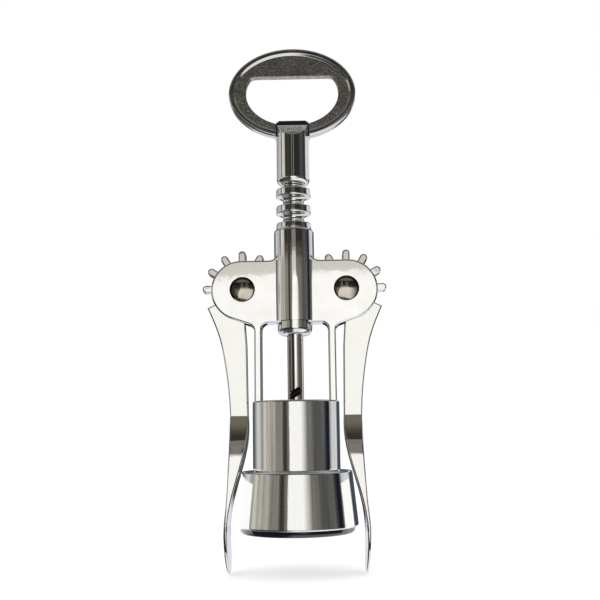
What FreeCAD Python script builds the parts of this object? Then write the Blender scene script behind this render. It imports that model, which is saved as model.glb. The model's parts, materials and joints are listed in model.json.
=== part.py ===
import FreeCAD, Part
import math
import os
from FreeCAD import Vector

# Wing corkscrew.  Millimetres, +Z up the worm's axis, origin at the middle of the bell's mouth.
# X runs from the left lever to the right one, and Y is the depth of the flat cheeks and levers.
os.makedirs("parts", exist_ok=True)

X_AXIS = Vector(1, 0, 0)
Y_AXIS = Vector(0, 1, 0)
Z_AXIS = Vector(0, 0, 1)
ORIGIN = Vector(0, 0, 0)

# ---- fits and clearances ----
SLIDE_CLEARANCE = 0.10        # rack in the barrel, radial
RUN_CLEARANCE = 0.08          # lever on its pin and rack on the spindle, radial
SEAT_CLEARANCE = 0.03         # pieces that are fixed in each other, radial
SIDE_CLEARANCE = 0.20         # lever between the cheeks, each side
END_CLEARANCE = 0.10          # rack between neck and collar, each end
OVERCUT = 1.0                 # how far a cut runs past the surface that it opens
TOUCH = 1e-4                  # how near counts as lying on a plane
TIP_CLEARANCE = 0.40          # gear teeth in the slot through the barrel
PASS_CLEARANCE = 0.55         # rack through the hole in the bell's top

# ---- gear train ----
PIVOT_X = 17.75               # lever pivot from the axis
PIVOT_Z = 81.1
PITCH_RADIUS = 12.0           # gear pitch radius, the rack's travel in mm per radian
RACK_PITCH = 6.06             # from one ring to the next
FIRST_GROOVE_RISE = 0.8       # groove in mesh at rest, above the pivots
TOOTH_COUNT = 7
TOOTH_WIDTH = 2.6
TIP_RADIUS = 13.8
ROOT_RADIUS = 10.3
TOOTH_SINK = 1.0              # how far a tooth runs into the gear's body
SHOULDER_RADIUS = 13.5        # the hooked shoulder that ends the row of teeth
LEVER_TURN = 150.0            # degrees from folded to raised

# ---- frame ----
BARREL_RADIUS = 6.9
BARREL_TOP = 102.2
BARREL_LIFT = 0.6             # barrel's lower end above the window's top
BARREL_RIM_ROUND = 0.9
CHEEK_THICKNESS = 1.6
CHEEK_RADIUS = 10.2
CHEEK_CENTRE_OUT = 0.5        # cheek's round end, from the pivot
CHEEK_CENTRE_DROP = 0.2
CHEEK_TOP_ROUND = 3.2         # hollow between the cheek's top and the barrel
CHEEK_SLOPE = 19.0            # degrees, the cheek's underside down to the leg
CHEEK_EDGE_ROUND = 0.6
CHEEK_ROOT_ROUND = 1.5        # hollow between the cheek's face and the barrel
LEG_OUTER = 13.85
LEG_WIDTH = 2.5
LEG_TOP_ROUND = 2.5           # hollow between the leg and the cheek's underside
WINDOW_TOP = 69.6
WINDOW_ROUND = 2.2

# ---- bell ----
BELL_TOP = 43.2
BELL_STEP = 20.1
BELL_BOTTOM = 2.0
BELL_UPPER_RADIUS = 14.65
BELL_SHOULDER_RADIUS = 18.5
BELL_MOUTH_RADIUS = 20.45
BELL_WALL = 1.7
BELL_ROOF = 1.8
BELL_EDGE_ROUND = 0.7

# ---- bottle ring ----
RING_LIP_RADIUS = 19.2
RING_LIP_ROUND = 1.2
RING_TOP = 15.5
BOTTLE_RADIUS = 15.2          # bore over the bottle's lip
BOTTLE_SEAT = 6.0             # depth to the ledge on which the lip rests
RING_HEADROOM = 1.0           # skirt's inside above the ring

# ---- pivot pins ----
PIN_RADIUS = 3.95
PIN_DOME_HEIGHT = 0.95        # the pin's round end, level with the cheek's face at its middle
PIN_HOLE_CHAMFER = 0.35

# ---- levers: widths are seen from the front, and drops are below the pivot ----
LEVER_THICKNESS = 4.6
SHOULDER_ANGLE = -26.4        # degrees below the horizontal through the pivot
ARM_LEG_GAP = 2.2             # arm's inner edge from the leg
ARM_LEAN = 0.65               # how far the arm's inner edge leans out at its top
ARM_TOP_WIDTH = 8.6
ARM_WAIST_WIDTH = 6.1
PADDLE_BELL_GAP = 2.25        # paddle's inner face from the bell's mouth
PADDLE_ROOT_THICKNESS = 2.3
PADDLE_THICKNESS = 1.6
PADDLE_TIP_THICKNESS = 0.8
PADDLE_TIP_CURL = 0.5         # how far the tip turns back in
PADDLE_HALF_DEPTH = 8.2
ARM_TOP_DROP = 19.1
FLARE_DROP = 42.7             # where the flat arm starts to flare into the paddle
BEND_DROP = 45.0              # where the arm starts to bend outwards
PADDLE_ROOT_DROP = 69.0
PADDLE_FULL_DROP = 81.0       # where the paddle stands clear of the bell's mouth
PADDLE_ROUND_DROP = 85.0      # where its sides start to round to the tip
TIP_DROP = 94.1
FLARE_HEIGHT = 15.4

# ---- rack, spindle and worm ----
RACK_RADIUS = 6.05
GROOVE_RADIUS = 1.95
GROOVE_CENTRE = 5.6           # middle of the groove's round section, from the axis
RING_EDGE_ROUND = 0.45
GROOVES_BELOW = 1             # grooves below the one in mesh at rest
GROOVES_ABOVE = 5             # and above it, apart from the one under the neck
CORE_RADIUS = 2.4
NECK_RADIUS = 5.75
NECK_ROUND_HEIGHT = 2.1       # rounding over the last groove
NECK_BEVEL_HEIGHT = 4.2       # slanting facets between the neck and the tang
TANG_HEIGHT = 6.2
TANG_HALF_WIDTH = 6.05
TANG_HALF_THICKNESS = 2.2
TANG_CHAMFER = 1.3
COLLAR_RADIUS = 5.92
COLLAR_HEIGHT = 5.7
COLLAR_INSIDE = 1.0           # how far the collar stands up inside the barrel
COLLAR_DOME_HEIGHT = 2.6
COLLAR_FACE_RADIUS = 4.1
SHANK_RADIUS = 2.73
SHANK_BOTTOM = 43.4
NOTCH_RISE = 2.5              # where the screw's groove runs out, above the shank's lower end
NOTCH_RADIUS = 1.15
NOTCH_SLANT = 33.0            # degrees
STUB_RADIUS = 1.3
STUB_LENGTH = 9.0
WORM_RADIUS = 4.4
WORM_CORE_RADIUS = 1.5
WORM_PITCH = 8.6
WORM_TIP = 8.0
WORM_POINT_LENGTH = 9.0
WORM_POINT_RADIUS = 0.35
WORM_FLARE_LENGTH = 3.2
FIN_ROOT = 3.4                # height of the thread's fin at the core
FIN_EDGE = 0.9                # and at its outer edge
FIN_SINK = 0.6                # how far the fin runs into the core
FIN_OVERCUT = 0.5             # and past the screw's outside, before it is trimmed

# ---- opener head ----
HEAD_STOP_GAP = 1.7           # head's lower edge above the barrel with the levers raised
HEAD_HALF_WIDTH = 22.5
HEAD_HALF_HEIGHT = 16.5
HEAD_HALF_THICKNESS = 1.9
HEAD_RIM_WIDTH = 2.1
HEAD_RIM_ROUND = 0.7
HEAD_WEB_HALF_THICKNESS = 1.25
OPENING_RISE = 0.2            # opening's middle above the head's middle
OPENING_HALF_WIDTH = 16.4
OPENING_HALF_HEIGHT = 12.0
LIP_HEIGHT = 5.8              # cap lifter's straight lip above the opening's middle
LIP_ROUND = 1.0
TAB_HALF_THICKNESS = 1.0      # tab under the head, in the neck's slot
TAB_HALF_WIDTH = 4.5
TAB_LENGTH = 5.3

# ---- worked out from the sizes above ----
CHEEK_INNER_Y = LEVER_THICKNESS / 2 + SIDE_CLEARANCE
CHEEK_FACE_Y = CHEEK_INNER_Y + CHEEK_THICKNESS
SLOT_RADIUS = TIP_RADIUS + TIP_CLEARANCE
BORE_RADIUS = RACK_RADIUS + SLIDE_CLEARANCE
BARREL_BOTTOM = WINDOW_TOP + BARREL_LIFT
RACK_TRAVEL = PITCH_RADIUS * math.radians(LEVER_TURN)
FIRST_GROOVE_Z = PIVOT_Z + FIRST_GROOVE_RISE
TOOTH_STEP = math.degrees(RACK_PITCH / PITCH_RADIUS)
FIRST_TOOTH = math.degrees(FIRST_GROOVE_RISE / PITCH_RADIUS)
GROOVE_DEPTH_RADIUS = GROOVE_CENTRE - GROOVE_RADIUS
NECK_BOTTOM = FIRST_GROOVE_Z + (GROOVES_ABOVE + 1) * RACK_PITCH
COLLAR_TOP = BARREL_BOTTOM + COLLAR_INSIDE
COLLAR_BOTTOM = COLLAR_TOP - COLLAR_HEIGHT
HEAD_BOTTOM = BARREL_TOP + RACK_TRAVEL + HEAD_STOP_GAP
HEAD_CENTRE_Z = HEAD_BOTTOM + HEAD_HALF_HEIGHT
OPENING_CENTRE_Z = HEAD_CENTRE_Z + OPENING_RISE
TANG_TOP = HEAD_BOTTOM + TANG_HEIGHT
NECK_BEVEL_TOP = HEAD_BOTTOM + NECK_BEVEL_HEIGHT
TAB_BOTTOM = HEAD_BOTTOM - TAB_LENGTH
BELL_SLOPE = (BELL_MOUTH_RADIUS - BELL_SHOULDER_RADIUS) / (BELL_STEP - BELL_BOTTOM)
BELL_THROAT = BELL_UPPER_RADIUS - BELL_WALL


def point(x, z, y=0.0):
    return Vector(x, y, z)


def line(start, end):
    return Part.makeLine(start, end)


def arc(start, middle, end):
    return Part.Arc(start, middle, end).toShape()


def spline(points):
    curve = Part.BSplineCurve()
    curve.interpolate(points)
    return curve.toShape()


def polar(centre, radius, degrees):
    """The point at an angle from +X towards +Z, in the XZ plane."""
    turn = math.radians(degrees)
    return centre + Vector(radius * math.cos(turn), 0, radius * math.sin(turn))


def round_corner(before, corner, after, radius):
    """The arc that rounds a corner between two straight sides, with its two ends."""
    to_before = (before - corner).normalize()
    to_after = (after - corner).normalize()
    half_angle = to_before.getAngle(to_after) / 2
    start = corner + to_before * (radius / math.tan(half_angle))
    end = corner + to_after * (radius / math.tan(half_angle))
    inward = (to_before + to_after).normalize()
    middle = corner + inward * (radius / math.sin(half_angle) - radius)
    return start, arc(start, middle, end), end


def side_arc(side, end):
    """The arc that leaves one point straight up or down and ends at another."""
    across = end.x - side.x
    along = end.z - side.z
    radius = (across ** 2 + along ** 2) / (2 * abs(across))
    half_turn = math.atan2(abs(across), abs(along))
    middle = point(
        side.x + math.copysign(radius * (1 - math.cos(half_turn)), across),
        side.z + math.copysign(radius * math.sin(half_turn), along),
    )
    return arc(side, middle, end)


def plate(edges, half_depth):
    """A flat outline in the XZ plane, thickened the same way to both sides."""
    face = Part.Face(Part.Wire(Part.__sortEdges__(edges)))
    face.translate(Y_AXIS * -half_depth)
    return face.extrude(Y_AXIS * (2 * half_depth))


def turned(edges):
    """A closed outline in the XZ plane, turned about the Z axis."""
    face = Part.Face(Part.Wire(Part.__sortEdges__(edges)))
    return face.revolve(ORIGIN, Z_AXIS, 360)


def polygon_edges(corners):
    return [line(a, b) for a, b in zip(corners, corners[1:] + corners[:1])]


def disc(radius, bottom, top):
    return Part.makeCylinder(radius, top - bottom, point(0, bottom), Z_AXIS)


def cross_cylinder(radius, half_length, x=PIVOT_X, z=PIVOT_Z):
    """A cylinder along Y, centred on the lever's plane."""
    return Part.makeCylinder(radius, 2 * half_length, point(x, z, -half_length), Y_AXIS)


def mirrored(shape):
    return shape.mirror(ORIGIN, X_AXIS)


def ellipse_face(centre_z, half_width, half_height):
    wide = half_width >= half_height
    long_end = point(half_width, centre_z) if wide else point(0, centre_z + half_height)
    short_end = point(0, centre_z + half_height) if wide else point(half_width, centre_z)
    curve = Part.Ellipse(long_end, short_end, point(0, centre_z))
    return Part.Face(Part.Wire([curve.toShape()]))


def thick_ellipse(centre_z, half_width, half_height, half_depth):
    face = ellipse_face(centre_z, half_width, half_height)
    face.translate(Y_AXIS * -half_depth)
    return face.extrude(Y_AXIS * (2 * half_depth))


def cheek_outline():
    """Outline of the right cheek and leg, closed along the tool's middle plane."""
    centre = point(PIVOT_X + CHEEK_CENTRE_OUT, PIVOT_Z - CHEEK_CENTRE_DROP)
    top = polar(centre, CHEEK_RADIUS, 90)
    low = polar(centre, CHEEK_RADIUS, CHEEK_SLOPE - 90)
    far = polar(centre, CHEEK_RADIUS, CHEEK_SLOPE / 2)
    barrel_x = math.sqrt(BARREL_RADIUS ** 2 - CHEEK_FACE_Y ** 2)
    notch = point(barrel_x, top.z)
    up = point(barrel_x, top.z + CHEEK_TOP_ROUND)
    first, top_round, last = round_corner(top, notch, up, CHEEK_TOP_ROUND)
    drop = (low.x - LEG_OUTER) * math.tan(math.radians(CHEEK_SLOPE))
    knee = point(LEG_OUTER, low.z - drop)
    foot = point(LEG_OUTER, BELL_TOP)
    knee_start, knee_round, knee_end = round_corner(low, knee, foot, LEG_TOP_ROUND)
    inner_foot = point(LEG_OUTER - LEG_WIDTH, BELL_TOP)
    inner_top = point(LEG_OUTER - LEG_WIDTH, WINDOW_TOP)
    middle_top = point(0, WINDOW_TOP)
    win_start, win_round, win_end = round_corner(inner_foot, inner_top, middle_top, WINDOW_ROUND)
    return [
        line(point(0, last.z), last), top_round, line(first, top), arc(top, far, low),
        line(low, knee_start), knee_round, line(knee_end, foot), line(foot, inner_foot),
        line(inner_foot, win_start), win_round, line(win_end, middle_top),
        line(middle_top, point(0, last.z)),
    ]


def on_face(edge, y):
    """Whether an edge lies in the plane at this depth."""
    box = edge.BoundBox
    return abs(box.YMin - y) < TOUCH and abs(box.YMax - y) < TOUCH


def cheek_root():
    """The hollow round that joins the right cheek's face to the barrel, as one upright strip."""
    round_y = CHEEK_FACE_Y + CHEEK_ROOT_ROUND
    round_x = math.sqrt((BARREL_RADIUS + CHEEK_ROOT_ROUND) ** 2 - round_y ** 2)
    on_barrel = Vector(round_x, round_y, 0) * (BARREL_RADIUS / (BARREL_RADIUS + CHEEK_ROOT_ROUND))
    on_cheek = Vector(round_x, CHEEK_FACE_Y, 0)
    in_cheek = Vector(round_x, CHEEK_FACE_Y - CHEEK_THICKNESS / 2, 0)
    in_barrel = on_barrel * (1 - CHEEK_THICKNESS / 2 / BARREL_RADIUS)
    centre = Vector(round_x, round_y, 0)
    middle = centre - (centre - (on_barrel + on_cheek) / 2).normalize() * CHEEK_ROOT_ROUND
    edges = [
        line(in_cheek, on_cheek), arc(on_cheek, middle, on_barrel),
        line(on_barrel, in_barrel), line(in_barrel, in_cheek),
    ]
    face = Part.Face(Part.Wire(edges))
    bottom = BARREL_BOTTOM
    top = PIVOT_Z - CHEEK_CENTRE_DROP + CHEEK_RADIUS
    face.translate(Z_AXIS * bottom)
    return face.extrude(Z_AXIS * (top - bottom))


def frame():
    half = plate(cheek_outline(), CHEEK_FACE_Y)
    body = half.fuse(mirrored(half)).removeSplitter()
    rims = [e for e in body.Edges if on_face(e, CHEEK_FACE_Y) or on_face(e, -CHEEK_FACE_Y)]
    rims = [e for e in rims if e.BoundBox.ZMax > BELL_TOP + TOUCH]
    body = body.makeFillet(CHEEK_EDGE_ROUND, rims)
    barrel = disc(BARREL_RADIUS, BARREL_BOTTOM, BARREL_TOP)
    rim = [e for e in barrel.Edges if e.BoundBox.ZMin > BARREL_TOP - TOUCH]
    barrel = barrel.makeFillet(BARREL_RIM_ROUND, rim)
    body = body.fuse(barrel).removeSplitter()
    front_root = cheek_root()
    back_root = front_root.mirror(ORIGIN, Y_AXIS)
    for root in (front_root, mirrored(front_root), back_root, mirrored(back_root)):
        body = body.fuse(root)
    body = body.removeSplitter()
    body = body.cut(disc(BORE_RADIUS, WINDOW_TOP - OVERCUT, BARREL_TOP + OVERCUT))
    for x in (-PIVOT_X, PIVOT_X):
        body = body.cut(cross_cylinder(SLOT_RADIUS, CHEEK_INNER_Y, x))
        body = body.cut(cross_cylinder(PIN_RADIUS + SEAT_CLEARANCE, CHEEK_FACE_Y + OVERCUT, x))
        for side in (-1, 1):
            mouth = Part.makeCone(
                PIN_RADIUS + SEAT_CLEARANCE,
                PIN_RADIUS + SEAT_CLEARANCE + PIN_HOLE_CHAMFER,
                PIN_HOLE_CHAMFER,
                point(x, PIVOT_Z, side * (CHEEK_FACE_Y - PIN_HOLE_CHAMFER)),
                Y_AXIS * side,
            )
            body = body.cut(mouth)
    return body


def bell():
    hole = RACK_RADIUS + PASS_CLEARANCE
    skirt_top = RING_TOP + RING_HEADROOM
    skirt_top_radius = BELL_SHOULDER_RADIUS + BELL_SLOPE * (BELL_STEP - skirt_top) - BELL_WALL
    outline = [
        point(hole, BELL_TOP), point(BELL_UPPER_RADIUS, BELL_TOP),
        point(BELL_UPPER_RADIUS, BELL_STEP), point(BELL_SHOULDER_RADIUS, BELL_STEP),
        point(BELL_MOUTH_RADIUS, BELL_BOTTOM), point(BELL_MOUTH_RADIUS - BELL_WALL, BELL_BOTTOM),
        point(skirt_top_radius, skirt_top), point(BELL_THROAT, skirt_top),
        point(BELL_THROAT, BELL_TOP - BELL_ROOF), point(hole, BELL_TOP - BELL_ROOF),
    ]
    body = turned(polygon_edges(outline))
    rounded = []
    for edge in body.Edges:
        box = edge.BoundBox
        flat = box.ZMax - box.ZMin < TOUCH
        wide = box.XMax > BELL_UPPER_RADIUS - TOUCH
        outside = box.ZMin > BELL_STEP - TOUCH or box.XMax > BELL_MOUTH_RADIUS - TOUCH
        if flat and wide and outside:
            rounded.append(edge)
    return body.makeFillet(BELL_EDGE_ROUND, rounded)


def bottle_ring():
    mouth = BELL_MOUTH_RADIUS - BELL_WALL - SEAT_CLEARANCE
    top = mouth - BELL_SLOPE * (RING_TOP - BELL_BOTTOM)
    corner = point(RING_LIP_RADIUS, 0)
    inner = point(BOTTLE_RADIUS, 0)
    shelf = point(RING_LIP_RADIUS, BELL_BOTTOM)
    start, lip_round, end = round_corner(inner, corner, shelf, RING_LIP_ROUND)
    edges = [line(inner, start), lip_round, line(end, shelf)]
    rest = [
        shelf, point(mouth, BELL_BOTTOM), point(top, RING_TOP), point(BELL_THROAT, RING_TOP),
        point(BELL_THROAT, BOTTLE_SEAT), point(BOTTLE_RADIUS, BOTTLE_SEAT), inner,
    ]
    edges += [line(a, b) for a, b in zip(rest, rest[1:])]
    return turned(edges)


def pivot_pin():
    """A pin whose ends are shallow domes, with their edges below the cheek's face."""
    body = cross_cylinder(PIN_RADIUS, CHEEK_FACE_Y)
    dome_sphere = (PIN_RADIUS ** 2 + PIN_DOME_HEIGHT ** 2) / (2 * PIN_DOME_HEIGHT)
    for side in (-1, 1):
        middle = side * (CHEEK_FACE_Y - dome_sphere)
        body = body.common(Part.makeSphere(dome_sphere, point(PIVOT_X, PIVOT_Z, middle)))
    return body


def gear_tooth(angle):
    """One straight-sided tooth with a round tip, pointing from the pivot at this angle."""
    half = TOOTH_WIDTH / 2
    shank_end = TIP_RADIUS - half
    root = ROOT_RADIUS - TOOTH_SINK
    edges = [
        line(point(root, half), point(shank_end, half)),
        arc(point(shank_end, half), point(TIP_RADIUS, 0), point(shank_end, -half)),
        line(point(shank_end, -half), point(root, -half)),
        line(point(root, -half), point(root, half)),
    ]
    tooth = plate(edges, LEVER_THICKNESS / 2)
    tooth.rotate(ORIGIN, Y_AXIS, -angle)
    tooth.translate(point(PIVOT_X, PIVOT_Z))
    return tooth


def arm_inner_x(drop):
    """The arm's inner edge, from the axis, at a height below the pivot."""
    arm_x = LEG_OUTER + ARM_LEG_GAP
    paddle_x = BELL_MOUTH_RADIUS + PADDLE_BELL_GAP
    bend = (drop - BEND_DROP) / (PADDLE_FULL_DROP - BEND_DROP)
    bend = min(max(bend, 0.0), 1.0)
    lean = max(1 - drop / BEND_DROP, 0.0) * ARM_LEAN
    return arm_x + lean + (paddle_x - arm_x) * (1 - math.cos(math.pi * bend)) / 2


def arm_outline():
    """Outline of the right lever's arm as seen from the front, from the gear to the tip."""
    pivot = point(PIVOT_X, PIVOT_Z)
    shoulder = polar(pivot, SHOULDER_RADIUS, SHOULDER_ANGLE)
    widths = {
        ARM_TOP_DROP: ARM_TOP_WIDTH,
        FLARE_DROP: ARM_WAIST_WIDTH,
        PADDLE_ROOT_DROP: PADDLE_ROOT_THICKNESS,
        PADDLE_FULL_DROP: PADDLE_THICKNESS,
    }
    inner_drops = [ARM_TOP_DROP, (ARM_TOP_DROP + BEND_DROP) / 2, BEND_DROP]
    bend_steps = 4
    for step in range(1, bend_steps + 1):
        inner_drops.append(BEND_DROP + (PADDLE_FULL_DROP - BEND_DROP) * step / bend_steps)
    tip_x = arm_inner_x(TIP_DROP) - PADDLE_TIP_CURL
    inner = [point(arm_inner_x(drop), PIVOT_Z - drop) for drop in inner_drops]
    inner.append(point(tip_x, PIVOT_Z - TIP_DROP))
    outer = [shoulder]
    outer += [point(arm_inner_x(drop) + width, PIVOT_Z - drop) for drop, width in widths.items()]
    outer.append(point(tip_x + PADDLE_TIP_THICKNESS, PIVOT_Z - TIP_DROP))
    gear_side = polar(pivot, ROOT_RADIUS - TOOTH_SINK, SHOULDER_ANGLE)
    return [
        spline(outer), line(outer[-1], inner[-1]), spline(inner), line(inner[0], pivot),
        line(pivot, gear_side), line(gear_side, shoulder),
    ]


def depth_outline():
    """The lever from the side: a flat arm, a flare that is one arc, and a paddle with a round end."""
    half = LEVER_THICKNESS / 2
    top = PIVOT_Z + TIP_RADIUS + TOOTH_SINK
    flare_top = PIVOT_Z - FLARE_DROP
    flare_bottom = flare_top - FLARE_HEIGHT
    round_z = PIVOT_Z - PADDLE_ROUND_DROP
    tip = point(0, PIVOT_Z - TIP_DROP)
    side = point(PADDLE_HALF_DEPTH, round_z)
    oval = Part.Ellipse(tip, side, point(0, round_z))
    edges = [
        Part.ArcOfEllipse(oval, -math.pi / 2, math.pi / 2).toShape(),
        line(point(-half, top), point(half, top)),
    ]
    for way in (-1, 1):
        narrow = point(way * half, flare_top)
        wide = point(way * PADDLE_HALF_DEPTH, flare_bottom)
        edges += [
            line(point(way * half, top), narrow), side_arc(wide, narrow),
            line(wide, point(way * PADDLE_HALF_DEPTH, round_z)),
        ]
    face = Part.Face(Part.Wire(Part.__sortEdges__(edges)))
    face.rotate(ORIGIN, Z_AXIS, 90)
    return face.extrude(X_AXIS * (PIVOT_X + SLOT_RADIUS + BELL_MOUTH_RADIUS))


def lever():
    arm = plate(arm_outline(), PADDLE_HALF_DEPTH + OVERCUT).common(depth_outline())
    body = arm.fuse(cross_cylinder(ROOT_RADIUS, LEVER_THICKNESS / 2))
    for index in range(TOOTH_COUNT):
        body = body.fuse(gear_tooth(180 - FIRST_TOOTH - index * TOOTH_STEP))
    body = body.cut(cross_cylinder(PIN_RADIUS + RUN_CLEARANCE, LEVER_THICKNESS / 2 + OVERCUT))
    return body.removeSplitter()


def rack_sleeve():
    """A tube with round grooves, so that the gears drive it at any turn of the handle."""
    bottom = COLLAR_TOP + END_CLEARANCE
    top = NECK_BOTTOM - END_CLEARANCE
    body = disc(RACK_RADIUS, bottom, top)
    for index in range(-GROOVES_BELOW, GROOVES_ABOVE + 2):
        groove_z = FIRST_GROOVE_Z + index * RACK_PITCH
        body = body.cut(Part.makeTorus(GROOVE_CENTRE, GROOVE_RADIUS, point(0, groove_z)))
    sharp = [
        e for e in body.Edges
        if abs(e.BoundBox.XMax - RACK_RADIUS) < TOUCH and e.BoundBox.ZMax - e.BoundBox.ZMin < TOUCH
    ]
    body = body.makeFillet(RING_EDGE_ROUND, sharp)
    return body.cut(disc(CORE_RADIUS + RUN_CLEARANCE, bottom - OVERCUT, top + OVERCUT))


def bevel_wedge(side):
    """What is cut off the neck's top, on one side, down to the tang."""
    outer = NECK_RADIUS + OVERCUT
    slope = NECK_BEVEL_HEIGHT / (NECK_RADIUS - TANG_HALF_THICKNESS)
    low = HEAD_BOTTOM - slope * OVERCUT
    corners = [
        Vector(-outer, side * outer, low), Vector(-outer, side * outer, TANG_TOP + OVERCUT),
        Vector(-outer, side * TANG_HALF_THICKNESS, TANG_TOP + OVERCUT),
        Vector(-outer, side * TANG_HALF_THICKNESS, NECK_BEVEL_TOP),
    ]
    face = Part.Face(Part.Wire(polygon_edges(corners)))
    return face.extrude(X_AXIS * (2 * outer))


def handle_neck():
    """The spindle: core rod, round neck and the bevelled tang that holds the head."""
    shoulder = point(NECK_RADIUS, NECK_BOTTOM + NECK_ROUND_HEIGHT)
    groove = point(GROOVE_DEPTH_RADIUS, NECK_BOTTOM)
    edges = [
        line(point(0, COLLAR_TOP), point(CORE_RADIUS, COLLAR_TOP)),
        line(point(CORE_RADIUS, COLLAR_TOP), point(CORE_RADIUS, NECK_BOTTOM)),
        line(point(CORE_RADIUS, NECK_BOTTOM), groove), side_arc(shoulder, groove),
        line(shoulder, point(NECK_RADIUS, TANG_TOP)),
        line(point(NECK_RADIUS, TANG_TOP), point(0, TANG_TOP)),
        line(point(0, TANG_TOP), point(0, COLLAR_TOP)),
    ]
    body = turned(edges)
    corners = [
        point(-TANG_HALF_WIDTH, HEAD_BOTTOM), point(TANG_HALF_WIDTH, HEAD_BOTTOM),
        point(TANG_HALF_WIDTH, TANG_TOP - TANG_CHAMFER),
        point(TANG_HALF_WIDTH - TANG_CHAMFER, TANG_TOP),
        point(TANG_CHAMFER - TANG_HALF_WIDTH, TANG_TOP),
        point(-TANG_HALF_WIDTH, TANG_TOP - TANG_CHAMFER),
    ]
    body = body.cut(bevel_wedge(-1)).cut(bevel_wedge(1))
    body = body.fuse(plate(polygon_edges(corners), TANG_HALF_THICKNESS)).removeSplitter()
    half = TAB_HALF_THICKNESS + SEAT_CLEARANCE
    for half_width, bottom in ((TAB_HALF_WIDTH + SEAT_CLEARANCE, TAB_BOTTOM),
                               (TANG_HALF_WIDTH + OVERCUT, HEAD_BOTTOM - SEAT_CLEARANCE)):
        slot = Part.makeBox(
            2 * half_width, 2 * half, TANG_TOP - bottom + OVERCUT, Vector(-half_width, -half, bottom),
        )
        body = body.cut(slot)
    return body.cut(disc(STUB_RADIUS + SEAT_CLEARANCE, COLLAR_TOP - OVERCUT, COLLAR_TOP + STUB_LENGTH))


def end_collar():
    bore = SHANK_RADIUS + SEAT_CLEARANCE
    shelf = point(COLLAR_RADIUS, COLLAR_BOTTOM + COLLAR_DOME_HEIGHT)
    face_edge = point(COLLAR_FACE_RADIUS, COLLAR_BOTTOM)
    edges = [
        line(point(bore, COLLAR_TOP), point(COLLAR_RADIUS, COLLAR_TOP)),
        line(point(COLLAR_RADIUS, COLLAR_TOP), shelf), side_arc(shelf, face_edge),
        line(face_edge, point(bore, COLLAR_BOTTOM)),
        line(point(bore, COLLAR_BOTTOM), point(bore, COLLAR_TOP)),
    ]
    return turned(edges)


def groove_end():
    """The slanted notch at the shank's front, in which the screw's groove runs out."""
    length = 4 * SHANK_RADIUS
    notch = Part.makeCylinder(NOTCH_RADIUS, length, point(-length / 2, 0), X_AXIS)
    notch.rotate(ORIGIN, Y_AXIS, -NOTCH_SLANT)
    notch.translate(point(0, SHANK_BOTTOM + NOTCH_RISE, -SHANK_RADIUS))
    return notch


def worm():
    """Shank and right-hand screw: a fin round a thin core, trimmed to a sharp point."""
    fin_bottom = WORM_TIP - WORM_PITCH / 2
    fin_height = SHANK_BOTTOM - fin_bottom
    path = Part.Wire(Part.makeLongHelix(WORM_PITCH, fin_height, WORM_CORE_RADIUS).Edges)
    fin_inner = WORM_CORE_RADIUS - FIN_SINK
    fin_outer = WORM_RADIUS + FIN_OVERCUT
    section = polygon_edges([
        point(fin_inner, -FIN_ROOT / 2), point(fin_outer, -FIN_EDGE / 2),
        point(fin_outer, FIN_EDGE / 2), point(fin_inner, FIN_ROOT / 2),
    ])
    fin = path.makePipeShell([Part.Wire(section)], True, True)
    fin.translate(point(0, fin_bottom))
    screw = fin.fuse(disc(WORM_CORE_RADIUS, fin_bottom, SHANK_BOTTOM + OVERCUT))
    envelope = turned(polygon_edges([
        point(0, WORM_TIP), point(WORM_POINT_RADIUS, WORM_TIP),
        point(WORM_RADIUS, WORM_TIP + WORM_POINT_LENGTH),
        point(WORM_RADIUS, SHANK_BOTTOM - WORM_FLARE_LENGTH),
        point(SHANK_RADIUS, SHANK_BOTTOM), point(0, SHANK_BOTTOM),
    ]))
    screw = screw.common(envelope)
    shank = disc(SHANK_RADIUS, SHANK_BOTTOM, COLLAR_TOP).cut(groove_end())
    stub = disc(STUB_RADIUS, COLLAR_TOP, COLLAR_TOP + STUB_LENGTH - END_CLEARANCE)
    return screw.fuse(shank).fuse(stub).removeSplitter()


def opener_head():
    body = thick_ellipse(HEAD_CENTRE_Z, HEAD_HALF_WIDTH, HEAD_HALF_HEIGHT, HEAD_HALF_THICKNESS)
    rims = [e for e in body.Edges if on_face(e, HEAD_HALF_THICKNESS) or on_face(e, -HEAD_HALF_THICKNESS)]
    body = body.makeFillet(HEAD_RIM_ROUND, rims)
    recess_depth = HEAD_HALF_THICKNESS - HEAD_WEB_HALF_THICKNESS
    for side in (-1, 1):
        pocket = thick_ellipse(
            HEAD_CENTRE_Z, HEAD_HALF_WIDTH - HEAD_RIM_WIDTH,
            HEAD_HALF_HEIGHT - HEAD_RIM_WIDTH, recess_depth,
        )
        pocket.translate(Y_AXIS * side * HEAD_HALF_THICKNESS)
        body = body.cut(pocket)
    opening = thick_ellipse(
        OPENING_CENTRE_Z, OPENING_HALF_WIDTH, OPENING_HALF_HEIGHT, HEAD_HALF_THICKNESS + OVERCUT,
    )
    below_lip = Part.makeBox(
        4 * HEAD_HALF_WIDTH, 4 * HEAD_HALF_THICKNESS, 4 * HEAD_HALF_HEIGHT,
        Vector(-2 * HEAD_HALF_WIDTH, -2 * HEAD_HALF_THICKNESS,
               OPENING_CENTRE_Z + LIP_HEIGHT - 4 * HEAD_HALF_HEIGHT),
    )
    opening = opening.common(below_lip)
    corners = [
        e for e in opening.Edges
        if e.BoundBox.ZMin > OPENING_CENTRE_Z + LIP_HEIGHT - TOUCH
        and e.BoundBox.XMax - e.BoundBox.XMin < TOUCH
    ]
    body = body.cut(opening.makeFillet(LIP_ROUND, corners))
    return seat_head(body)


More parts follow.
